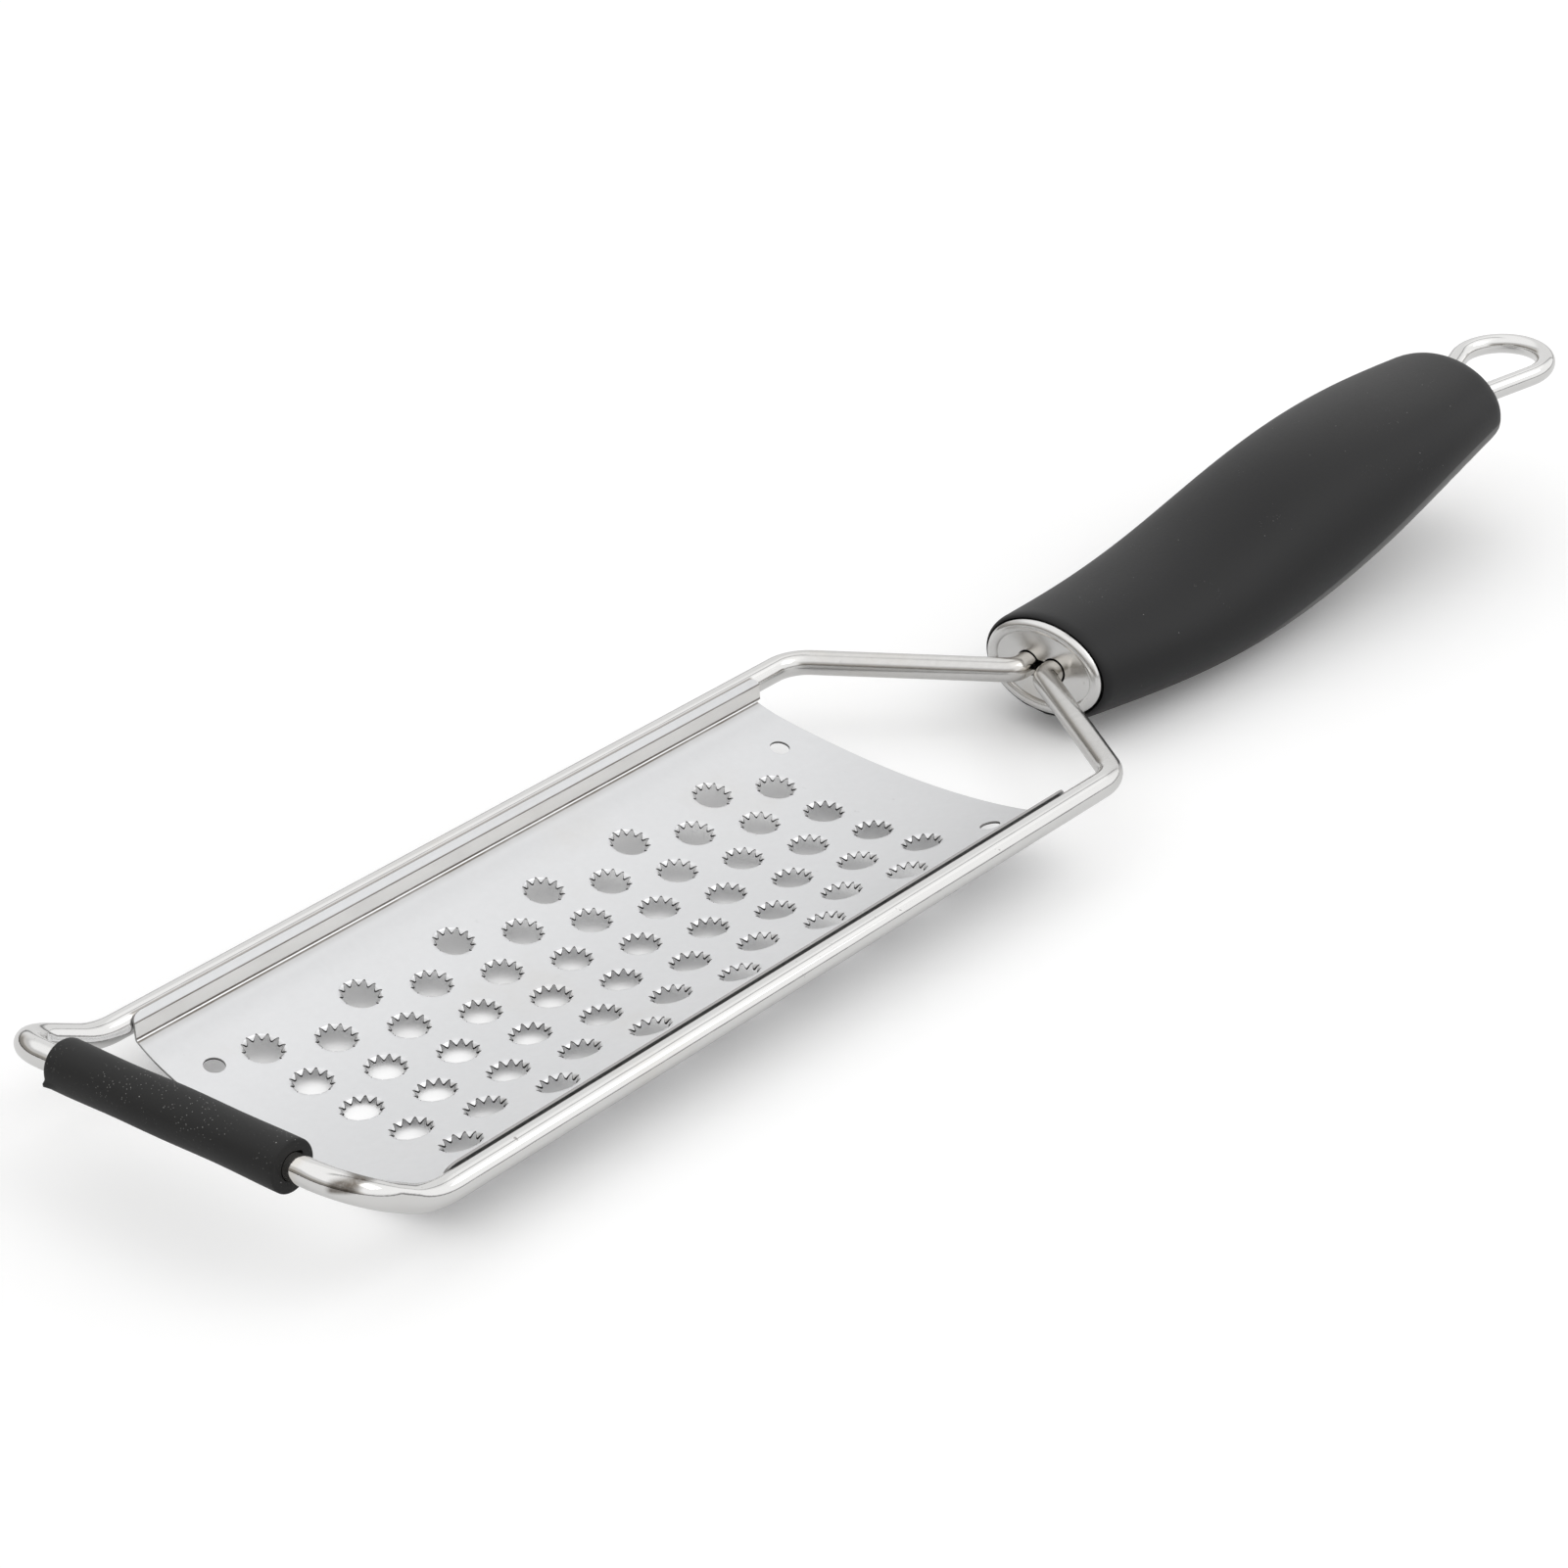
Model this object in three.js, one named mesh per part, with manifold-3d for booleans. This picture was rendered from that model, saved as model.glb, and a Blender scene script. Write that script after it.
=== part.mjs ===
// A flat hand grater. A bent wire frame carries an arched steel plate whose holes are ringed by crowns of teeth.
// A rubber sleeve on the nose bar is its foot, and a rubber grip with a hanging loop is its handle.
// Millimetres, +Z up. The grater lies on its teeth and on the belly of its grip, with the nose towards -X.

import * as THREE from "three";
import { mergeVertices } from "three/addons/utils/BufferGeometryUtils.js";
import Module from "manifold-3d";

const wasm = await Module();
wasm.setup();

// Clearance left between pieces that touch.
const SEAT = 0.3;

// Wire frame. The rails lie in the plane z = 0 and reach back to x = 0, where the arms turn in to the handle.
const WIRE_DIAMETER = 4;
const RAIL_SPACING = 65.4;
const RAIL_LENGTH = 145.6;
const ARM_RUN = 21.2;
const TANG_GAP = 1.2;
const TANG_DROP = 1;
const TANG_LENGTH = 62;
const NOSE_RUN = 13.7;
const NOSE_RISE = 7.4;
const ARM_BEND_RADIUS = 7.2;
const TANG_BEND_RADIUS = 4;
const NOSE_BEND_RADIUS = 15;
const CORNER_RADIUS = 7.5;

// Foot sleeve, a rubber tube cut square at both ends.
const SLEEVE_LENGTH = 43.2;
const SLEEVE_WALL = 1.45;
const SLEEVE_EDGE = 0.3;

// Grater plate: an arch between two folded walls, each with a lip that wraps its rail.
const SHEET = 0.4;
const ARCH_RISE = 5.2;
const FOLD_INSET = 0.5;
const WALL_HEIGHT = 2;
const LIP_WRAP = THREE.MathUtils.degToRad(50);
const LIP_CORNER = 1.2;
const PLATE_NOSE_GAP = 5;
const PLATE_ARM_GAP = 10;
const FRONT_BOW = 1.2;
const REAR_BOW = 3.5;
const REAR_RELIEF = 0.9;

// Punched holes, in staggered cross rows, each with its crown of teeth.
const HOLE_DIAMETER = 6.4;
const ROW_PITCH = 9.36;
const HOLE_SPACING = 9.8;
const ROW_END_MARGIN = 8;
const HOLE_SIDE_MARGIN = 1;
const TEETH_PER_HOLE = 12;
const TOOTH_DROP = 0.95;
const TOOTH_LEAN = 0.4;
const TOOTH_TIP_WIDTH = 0.5;
const CROWN_TURN = THREE.MathUtils.degToRad(-8);

// Small plain holes near three of the plate's corners.
const CORNER_HOLE_DIAMETER = 3.2;
const CORNER_HOLE_INSET = 5;
const CORNER_HOLE_OFFSET = 21.3;

// Pressed oval caps at both ends of the handle.
const CAP_SHEET = 0.6;
const CAP_DEPTH = 6;
const CAP_BEAD = 1.5;
const CAP_RECESS = 0.4;
const FERRULE_WIDTH = 22.8;
const FERRULE_HEIGHT = 15.8;
const FERRULE_STANDOFF = 2.4;
const REAR_CAP_WIDTH = 22.4;
const REAR_CAP_HEIGHT = 16.2;

// Channels pressed in the ferrule's face, from its slot up and out to the rim.
const CHANNEL_DIAMETER = 4.4;
const CHANNEL_DEPTH = 1.3;
const CHANNEL_ANGLES = [48, 158].map(THREE.MathUtils.degToRad);

// Grip. Its swell is given by a few stations from front to back: the place along the grip, the half width, and the
// heights of its top and bottom over the ferrule's centre.
const GRIP_LENGTH = 116.6;
const GRIP_FRONT_LIP = 0.9;
const GRIP_REAR_LIP = 1.3;
const GRIP_WALL = 3.2;
const GRIP_FRONT_ROUND = 1.8;
const GRIP_REAR_ROUND = 3;
const HANDLE_RISE = 6.8;
const SWELL = [
  { at: 0.197, halfWidth: 14.9, top: 8.2, bottom: -11.3 },
  { at: 0.336, halfWidth: 15.9, top: 9.9, bottom: -12.5 },
  { at: 0.515, halfWidth: 16.25, top: 14.2, bottom: -12.2 },
  { at: 0.689, halfWidth: 16.35, top: 16.5, bottom: -8.5 },
  { at: 0.864, halfWidth: 15, top: 16.6, bottom: -3.6 },
];

// Hanging loop: two legs that spread from the rear cap to a round eye.
const LOOP_WIRE = 3.5;
const LOOP_LEG_SPACING = 5.2;
const LOOP_LEG_DEPTH = 18;
const LOOP_REACH = 18.05;
const LOOP_EYE_RADIUS = 7.85;
const LOOP_LEG_BEND = 6;
const LOOP_TILT = THREE.MathUtils.degToRad(4);

// Facets: sides of a round wire, sides of an oval, and the largest turn in one step of a bend.
const WIRE_SIDES = 14;
const OVAL_SIDES = 32;
const BEND_STEP = THREE.MathUtils.degToRad(13);

// Places that several pieces share.
const wireRadius = WIRE_DIAMETER / 2;
const railY = RAIL_SPACING / 2;
const tangY = wireRadius + TANG_GAP / 2;
const noseX = -RAIL_LENGTH - NOSE_RUN;
const ferruleX = ARM_RUN + FERRULE_STANDOFF;
const ferruleZ = -TANG_DROP;
const rearCapX = ferruleX + GRIP_LENGTH;
const rearCapZ = ferruleZ + HANDLE_RISE;
const loopRadius = LOOP_WIRE / 2;
const loopPlace = new THREE.Matrix4()
  .makeRotationY(-LOOP_TILT)
  .setPosition(rearCapX, 0, rearCapZ);

// A closed solid for cutting and joining, from a closed geometry.
function solid(geometry) {
  const bare = geometry.clone();
  bare.deleteAttribute("normal");
  bare.deleteAttribute("uv");
  const merged = mergeVertices(bare);
  return new wasm.Manifold(
    new wasm.Mesh({
      numProp: 3,
      vertProperties: new Float32Array(merged.attributes.position.array),
      triVerts: new Uint32Array(merged.index.array),
    }),
  );
}

// The geometry of a solid after its cuts.
function geometryOf(body) {
  const { vertProperties, triVerts } = body.getMesh();
  return indexedGeometry(vertProperties, triVerts);
}

function indexedGeometry(positions, faces) {
  const geometry = new THREE.BufferGeometry();
  geometry.setAttribute("position", new THREE.Float32BufferAttribute(positions, 3));
  geometry.setIndex(Array.from(faces));
  geometry.computeVertexNormals();
  return geometry;
}

// A skin over rings of equal count. A row of rings gets flat ends, and a loop of rings closes on itself.
function loft(rings, closesOnItself = false) {
  const count = rings[0].length;
  const faces = [];
  const spans = closesOnItself ? rings.length : rings.length - 1;
  for (let span = 0; span < spans; span++) {
    const here = span * count;
    const next = ((span + 1) % rings.length) * count;
    for (let side = 0; side < count; side++) {
      const turned = (side + 1) % count;
      faces.push(here + side, here + turned, next + turned);
      faces.push(here + side, next + turned, next + side);
    }
  }
  if (!closesOnItself) {
    const last = (rings.length - 1) * count;
    for (let side = 1; side < count - 1; side++) {
      faces.push(0, side + 1, side);
      faces.push(last, last + side, last + side + 1);
    }
  }
  const positions = rings.flat().flatMap((point) => point.toArray());
  return indexedGeometry(positions, faces);
}

// An oval ring square to X.
function ovalRing(x, z, halfWidth, halfHeight) {
  return Array.from({ length: OVAL_SIDES }, (_, side) => {
    const angle = (2 * Math.PI * side) / OVAL_SIDES;
    return new THREE.Vector3(x, halfWidth * Math.cos(angle), z + halfHeight * Math.sin(angle));
  });
}

// The centre line of a bent wire: straight runs, and an arc of the corner's radius at each corner between them.
function bentLine(corners) {
  const stations = [];
  corners.forEach(({ at, radius }, index) => {
    const before = corners[index - 1]?.at;
    const after = corners[index + 1]?.at;
    const into = before && at.clone().sub(before).normalize();
    const out = after && after.clone().sub(at).normalize();
    if (!before || !after) {
      stations.push({ point: at, along: into ?? out });
      return;
    }
    const turn = into.angleTo(out);
    const axis = into.clone().cross(out).normalize();
    const start = at.clone().addScaledVector(into, -radius * Math.tan(turn / 2));
    const centre = start.clone().addScaledVector(axis.clone().cross(into), radius);
    const spoke = start.clone().sub(centre);
    const steps = Math.ceil(turn / BEND_STEP);
    for (let step = 0; step <= steps; step++) {
      const angle = (turn * step) / steps;
      const point = spoke.clone().applyAxisAngle(axis, angle).add(centre);
      stations.push({ point, along: into.clone().applyAxisAngle(axis, angle) });
    }
  });
  const shortest = 1e-3;
  return stations.filter(({ point }, index) => {
    return index === 0 || point.distanceTo(stations[index - 1].point) > shortest;
  });
}

// A round wire along a centre line, with its rings carried round the bends without twist.
function wire(stations, diameter) {
  const outward = new THREE.Vector3(0, 0, 1);
  let previous = stations[0].along;
  const rings = stations.map(({ point, along }) => {
    outward.applyQuaternion(new THREE.Quaternion().setFromUnitVectors(previous, along));
    previous = along;
    return Array.from({ length: WIRE_SIDES }, (_, side) => {
      const angle = (2 * Math.PI * side) / WIRE_SIDES;
      return outward
        .clone()
        .applyAxisAngle(along, angle)
        .multiplyScalar(diameter / 2)
        .add(point);
    });
  });
  return loft(rings);
}

// A list of corners on the +Y side, followed by its mirror image on the other side.
function withMirror(corners) {
  const mirrored = corners.map(({ at, radius }) => ({ at: new THREE.Vector3(at.x, -at.y, at.z), radius }));
  return [...corners, ...mirrored.reverse()];
}

// One rod: tang, arm, rail and turned-up nose on each side, joined by the nose bar.
function wireFrame() {
  const half = [
    { at: new THREE.Vector3(ferruleX + TANG_LENGTH, tangY, ferruleZ) },
    { at: new THREE.Vector3(ARM_RUN, tangY, ferruleZ), radius: TANG_BEND_RADIUS },
    { at: new THREE.Vector3(0, railY, 0), radius: ARM_BEND_RADIUS },
    { at: new THREE.Vector3(-RAIL_LENGTH, railY, 0), radius: NOSE_BEND_RADIUS },
    { at: new THREE.Vector3(noseX, railY, NOSE_RISE), radius: CORNER_RADIUS },
  ];
  return wire(bentLine(withMirror(half)), WIRE_DIAMETER);
}

// A tube round the nose bar, with its cut edges just broken. The lathe turns about Y, which is the bar's direction.
function footSleeve() {
  const bore = wireRadius + SEAT;
  const outside = bore + SLEEVE_WALL;
  const end = SLEEVE_LENGTH / 2;
  const profile = [
    [bore, -end],
    [outside - SLEEVE_EDGE, -end],
    [outside, -end + SLEEVE_EDGE],
    [outside, end - SLEEVE_EDGE],
    [outside - SLEEVE_EDGE, end],
    [bore, end],
    [bore, -end],
  ];
  return new THREE.LatheGeometry(
    profile.map(([radius, along]) => new THREE.Vector2(radius, along)),
    OVAL_SIDES,
  );
}

// The sheet's section, on its upper face, for one side of the plate: an arch, a tight fold up, a straight wall, and
// a lip that wraps the rail. Lengths along the section are measured from the middle of the arch.
const wrapRadius = wireRadius + SEAT + SHEET;
const wallY = railY - wrapRadius;
const archHalf = wallY - FOLD_INSET;
const archRadius = (archHalf ** 2 + ARCH_RISE ** 2) / (2 * ARCH_RISE);
const archAngle = Math.asin(archHalf / archRadius);
const foldRadius = FOLD_INSET / (1 - Math.sin(archAngle));
const foldRise = foldRadius * Math.cos(archAngle);
const archLength = archRadius * archAngle;
const foldLength = foldRadius * (Math.PI / 2 - archAngle);
const foldEnd = archLength + foldLength;
const wallEnd = foldEnd + WALL_HEIGHT;
const sheetHalf = wallEnd + wrapRadius * LIP_WRAP;
const archMiddleZ = -WALL_HEIGHT - foldRise - ARCH_RISE;

// The place on the sheet's upper face at a length along its section, and the direction out of that face.
function sectionAt(length) {
  const side = Math.sign(length) || 1;
  const s = Math.abs(length);
  let y;
  let z;
  let lean;
  if (s <= archLength) {
    lean = s / archRadius;
    y = archRadius * Math.sin(lean);
    z = archMiddleZ + archRadius * (1 - Math.cos(lean));
  } else if (s <= foldEnd) {
    lean = archAngle + (s - archLength) / foldRadius;
    y = archHalf + foldRadius * (Math.sin(lean) - Math.sin(archAngle));
    z = -WALL_HEIGHT - foldRadius * Math.cos(lean);
  } else if (s <= wallEnd) {
    lean = Math.PI / 2;
    y = wallY;
    z = s - wallEnd;
  } else {
    lean = Math.PI / 2 - (s - wallEnd) / wrapRadius;
    y = railY - wrapRadius * Math.sin(lean);
    z = wrapRadius * Math.cos(lean);
  }
  return { y: side * y, z, outY: -side * Math.sin(lean), outZ: Math.cos(lean) };
}

// A point of the flat blank, at a depth under its upper face, after the blank is rolled and folded.
function rolled(x, length, depth) {
  const { y, z, outY, outZ } = sectionAt(length);
  return new THREE.Vector3(x, y - outY * depth, z - outZ * depth);
}

// Where the blank ends: bowed edges across the arch, and walls and lips that end square with eased corners.
const plateFront = -RAIL_LENGTH + PLATE_NOSE_GAP;
const plateRear = -PLATE_ARM_GAP;

function lipEase(length) {
  const along = Math.max(0, Math.abs(length) - wallEnd) / (sheetHalf - wallEnd);
  return LIP_CORNER * along ** 2;
}

function bowAt(length) {
  return Math.max(0, 1 - (length / archLength) ** 2);
}

function frontEdge(length) {
  return plateFront - FRONT_BOW * bowAt(length) + lipEase(length);
}

function rearEdge(length) {
  const relief = Math.abs(length) > foldEnd ? 0 : REAR_RELIEF;
  return plateRear - relief + REAR_BOW * bowAt(length) - lipEase(length);
}

// The plate is laid out as a flat blank on a grid of cross lines and long lines. Every hole sits in a cell of the
// grid two strips wide, and the cells of neighbouring rows are staggered by one strip.
function graterPlate() {
  const usable = plateRear - REAR_RELIEF - plateFront;
  const rowCount = Math.floor((usable - 2 * ROW_END_MARGIN) / ROW_PITCH);
  const firstLine = plateFront + (usable - rowCount * ROW_PITCH) / 2;
  const strip = HOLE_SPACING / 2;
  const holesAside = Math.floor((archLength - HOLE_SIDE_MARGIN - strip) / HOLE_SPACING);
  const holesAcross = 2 * holesAside + 1;
  const foldSteps = 2;
  const lipSteps = 3;

  const outside = [archLength];
  for (let step = 1; step <= foldSteps; step++) {
    outside.push(archLength + (foldLength * step) / foldSteps);
  }
  for (let step = 0; step <= lipSteps; step++) {
    outside.push(wallEnd + ((sheetHalf - wallEnd) * step) / lipSteps);
  }
  const middle = Array.from({ length: 2 * holesAcross + 1 }, (_, line) => (line - holesAcross) * strip);
  const longLines = [...outside.map((length) => -length).reverse(), ...middle, ...outside];
  const firstMiddle = outside.length;
  const crossLines = [
    frontEdge,
    ...Array.from({ length: rowCount + 1 }, (_, line) => () => firstLine + line * ROW_PITCH),
    rearEdge,
  ];

  const positions = [];
  const faces = [];
  const node = (x, length, depth) => positions.push(rolled(x, length, depth)) - 1;
  const triangle = (a, b, c) => faces.push(a, b, c);
  const quad = (a, b, c, d) => faces.push(a, b, c, a, c, d);
  const face = (depth) => crossLines.map((lineX) => longLines.map((length) => node(lineX(length), length, depth)));
  const upper = face(0);
  const lower = face(SHEET);
  const lastCross = crossLines.length - 1;
  const lastLong = longLines.length - 1;

  // A plain patch of sheet.
  function patch(row, column) {
    const around = (grid) => [
      grid[row][column],
      grid[row + 1][column],
      grid[row + 1][column + 1],
      grid[row][column + 1],
    ];
    quad(...around(upper));
    quad(...around(lower).reverse());
  }

  // A hole in its cell, with the twelve folded teeth of its crown.
  function punchedCell(row, column) {
    const centreX = firstLine + (row - 0.5) * ROW_PITCH;
    const centreLength = longLines[column];
    const radius = HOLE_DIAMETER / 2;
    const pitch = (2 * Math.PI) / TEETH_PER_HOLE;
    const onCircle = (circle, angle, depth) => {
      return node(centreX + circle * Math.cos(angle), centreLength + circle * Math.sin(angle), depth);
    };
    const toothAngle = (tooth) => CROWN_TURN + tooth * pitch;
    const rim = (depth) => {
      return Array.from({ length: TEETH_PER_HOLE }, (_, notch) => onCircle(radius, toothAngle(notch - 0.5), depth));
    };
    const corners = (grid) => [
      grid[row + 1][column],
      grid[row + 1][column + 1],
      grid[row][column + 1],
      grid[row][column],
      grid[row][column - 1],
      grid[row + 1][column - 1],
    ];
    const upperRim = rim(0);
    const lowerRim = rim(SHEET);
    const upperCorners = corners(upper);
    const lowerCorners = corners(lower);
    const cornerAngles = upperCorners.map((_, corner) => {
      const across = [0, 1, 1, 0, -1, -1][corner] * strip;
      const ahead = [1, 1, -1, -1, -1, 1][corner] * (ROW_PITCH / 2);
      return Math.atan2(across, ahead);
    });
    const nearestCorner = (angle) => {
      const closeness = cornerAngles.map((cornerAngle) => Math.cos(cornerAngle - angle));
      return closeness.indexOf(Math.max(...closeness));
    };

    const tipCircle = radius - TOOTH_LEAN;
    const tipHalfAngle = TOOTH_TIP_WIDTH / 2 / tipCircle;
    for (let tooth = 0; tooth < TEETH_PER_HOLE; tooth++) {
      const next = (tooth + 1) % TEETH_PER_HOLE;
      const middle = toothAngle(tooth);
      const corner = nearestCorner(middle);
      const nextCorner = nearestCorner(toothAngle(tooth + 1));
      triangle(upperRim[tooth], upperCorners[corner], upperRim[next]);
      triangle(lowerRim[next], lowerCorners[corner], lowerRim[tooth]);
      if (nextCorner !== corner) {
        triangle(upperCorners[corner], upperCorners[nextCorner], upperRim[next]);
        triangle(lowerCorners[nextCorner], lowerCorners[corner], lowerRim[next]);
      }
      const tipStart = onCircle(tipCircle, middle - tipHalfAngle, TOOTH_DROP);
      const tipEnd = onCircle(tipCircle, middle + tipHalfAngle, TOOTH_DROP);
      quad(upperRim[tooth], upperRim[next], tipEnd, tipStart);
      quad(lowerRim[next], lowerRim[tooth], tipStart, tipEnd);
      triangle(upperRim[tooth], tipStart, lowerRim[tooth]);
      triangle(tipEnd, upperRim[next], lowerRim[next]);
    }
  }

  for (let row = 0; row < lastCross; row++) {
    const punched = new Set();
    if (row > 0 && row < lastCross - 1) {
      const shift = row % 2;
      const holes = holesAcross - 1 + shift;
      for (let hole = 0; hole < holes; hole++) {
        const column = firstMiddle + 2 * hole + 2 - shift;
        punched.add(column - 1).add(column);
        punchedCell(row, column);
      }
    }
    for (let column = 0; column < lastLong; column++) {
      if (!punched.has(column)) patch(row, column);
    }
    quad(upper[row + 1][0], upper[row][0], lower[row][0], lower[row + 1][0]);
    quad(upper[row][lastLong], upper[row + 1][lastLong], lower[row + 1][lastLong], lower[row][lastLong]);
  }
  for (let column = 0; column < lastLong; column++) {
    quad(upper[0][column], upper[0][column + 1], lower[0][column + 1], lower[0][column]);
    const [near, far] = [upper[lastCross], lower[lastCross]];
    quad(near[column + 1], near[column], far[column], far[column + 1]);
  }

  const sheet = indexedGeometry(positions.flatMap((point) => point.toArray()), faces);
  return geometryOf(cornerHolePunches().reduce((body, punch) => body.subtract(punch), solid(sheet)));
}

// Round punches for the small holes, square to the arch: one at the front on the +Y side, and two at the rear.
function cornerHolePunches() {
  const punchLength = 6 * SHEET;
  const frontX = plateFront + CORNER_HOLE_INSET;
  const rearX = plateRear - REAR_RELIEF - CORNER_HOLE_INSET;
  const places = [
    { x: frontX, side: 1 },
    { x: rearX, side: 1 },
    { x: rearX, side: -1 },
  ];
  return places.map(({ x, side }) => {
    const { y, z, outY, outZ } = sectionAt(side * CORNER_HOLE_OFFSET);
    const punch = new THREE.CylinderGeometry(CORNER_HOLE_DIAMETER / 2, CORNER_HOLE_DIAMETER / 2, punchLength, 12);
    punch.applyQuaternion(
      new THREE.Quaternion().setFromUnitVectors(new THREE.Vector3(0, 1, 0), new THREE.Vector3(0, outY, outZ)),
    );
    punch.translate(x, y, z);
    return solid(punch);
  });
}

// A shallow oval cup of sheet: a rounded bead round a sunk face, and a skirt that goes back into the handle.
// Its bead touches x = 0 and its skirt runs towards +X.
function pressedCap(width, height) {
  const ring = ([x, inset]) => ovalRing(x, 0, width / 2 - inset, height / 2 - inset);
  const faceBack = CAP_RECESS + CAP_SHEET;
  const outsideProfile = [
    [CAP_RECESS, CAP_BEAD],
    [CAP_RECESS * 0.35, CAP_BEAD * 0.85],
    [0, CAP_BEAD * 0.5],
    [CAP_BEAD * 0.15, CAP_BEAD * 0.15],
    [CAP_BEAD * 0.5, 0],
    [CAP_DEPTH, 0],
  ];
  const hollowProfile = [
    [faceBack, CAP_SHEET],
    [CAP_DEPTH + CAP_SHEET, CAP_SHEET],
  ];
  return {
    cup: solid(loft(outsideProfile.map(ring))),
    hollow: solid(loft(hollowProfile.map(ring))),
  };
}

// A rod of round section from a point along a direction, as a cutter.
function rod(start, direction, length, diameter) {
  const geometry = new THREE.CylinderGeometry(diameter / 2, diameter / 2, length, WIRE_SIDES);
  geometry.translate(0, length / 2, 0);
  geometry.applyQuaternion(
    new THREE.Quaternion().setFromUnitVectors(new THREE.Vector3(0, 1, 0), direction.clone().normalize()),
  );
  geometry.translate(start.x, start.y, start.z);
  return solid(geometry);
}

// A slot with round ends for the two tangs, running along +X from a given place.
function tangSlot(startX, length) {
  const half = wireRadius + SEAT;
  const outline = new THREE.Shape();
  outline.absarc(0, tangY, half, 0, Math.PI, false);
  outline.absarc(0, -tangY, half, Math.PI, 2 * Math.PI, false);
  outline.closePath();
  const geometry = new THREE.ExtrudeGeometry(outline, { depth: length, bevelEnabled: false, curveSegments: 8 });
  geometry.rotateY(Math.PI / 2);
  geometry.translate(startX, 0, 0);
  return solid(geometry);
}

// The front cap, with a slot for the tangs and two channels pressed in its face.
function frontFerrule() {
  const { cup, hollow } = pressedCap(FERRULE_WIDTH, FERRULE_HEIGHT);
  const axisX = CAP_RECESS + CHANNEL_DEPTH - CHANNEL_DIAMETER / 2;
  const channels = CHANNEL_ANGLES.map((angle) => {
    const start = new THREE.Vector3(axisX, Math.sign(Math.cos(angle)) * tangY, 0);
    const direction = new THREE.Vector3(0, Math.cos(angle), Math.sin(angle));
    const rimHalf = new THREE.Vector2(FERRULE_WIDTH / 2 - CAP_BEAD, FERRULE_HEIGHT / 2 - CAP_BEAD);
    const reach = distanceToOval(start, direction, rimHalf) - CAP_SHEET;
    return { start, direction, reach };
  });
  const skins = channels.map(({ start, direction, reach }) => {
    return rod(start, direction, reach + CAP_SHEET, CHANNEL_DIAMETER + 2 * CAP_SHEET).intersect(hollow);
  });
  const grooves = channels.map(({ start, direction, reach }) => rod(start, direction, reach, CHANNEL_DIAMETER));
  const pressed = skins.reduce((body, skin) => body.add(skin), cup.subtract(hollow));
  const grooved = grooves.reduce((body, groove) => body.subtract(groove), pressed);
  return geometryOf(grooved.subtract(tangSlot(-CAP_DEPTH, 2 * CAP_DEPTH)));
}

// How far a ray in the YZ plane runs, from a start inside an oval, to the oval.
function distanceToOval(start, direction, half) {
  const p = new THREE.Vector2(start.y / half.x, start.z / half.y);
  const d = new THREE.Vector2(direction.y / half.x, direction.z / half.y);
  const b = p.dot(d);
  const a = d.lengthSq();
  return (Math.sqrt(b * b + a * (1 - p.lengthSq())) - b) / a;
}

// The rear cap, with a hole for each leg of the loop.
function rearCap() {
  const { cup, hollow } = pressedCap(REAR_CAP_WIDTH, REAR_CAP_HEIGHT);
  const through = new THREE.Vector3(1, 0, 0);
  const holes = [-1, 1].map((side) => {
    const start = new THREE.Vector3(-CAP_DEPTH, (side * LOOP_LEG_SPACING) / 2, 0);
    return rod(start, through, 2 * CAP_DEPTH, LOOP_WIRE + 2 * SEAT);
  });
  return geometryOf(holes.reduce((body, hole) => body.subtract(hole), cup.subtract(hollow)));
}

// The grip's outer oval at a place between the ferrule's face and the rear cap's face.
const gripStations = [
  {
    at: 0,
    halfWidth: FERRULE_WIDTH / 2 + GRIP_FRONT_LIP,
    top: FERRULE_HEIGHT / 2 + GRIP_FRONT_LIP,
    bottom: -FERRULE_HEIGHT / 2 - GRIP_FRONT_LIP,
  },
  ...SWELL,
  {
    at: 1,
    halfWidth: REAR_CAP_WIDTH / 2 + GRIP_REAR_LIP,
    top: HANDLE_RISE + REAR_CAP_HEIGHT / 2 + GRIP_REAR_LIP,
    bottom: HANDLE_RISE - REAR_CAP_HEIGHT / 2 - GRIP_REAR_LIP,
  },
];
const gripCurve = new THREE.CubicInterpolant(
  gripStations.map(({ at }) => at),
  gripStations.flatMap(({ halfWidth, top, bottom }) => [halfWidth, top, bottom]),
  3,
);

function gripRing(x, inset) {
  const [halfWidth, top, bottom] = gripCurve.evaluate((x - ferruleX) / GRIP_LENGTH);
  const centre = ferruleZ + (top + bottom) / 2;
  return ovalRing(x, centre, halfWidth - inset, (top - bottom) / 2 - inset);
}

// Where the caps' skirts end, and where the grip's rubber starts and ends.
const frontSkirtX = ferruleX + CAP_DEPTH;
const rearSkirtX = rearCapX - CAP_DEPTH;
const gripFrontX = ferruleX + CAP_BEAD * 0.5;
const gripRearX = rearCapX - CAP_BEAD * 0.5;

// Places along the grip between two ends, both included.
function spread(from, to, steps) {
  return Array.from({ length: steps + 1 }, (_, step) => from + ((to - from) * step) / steps);
}

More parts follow.
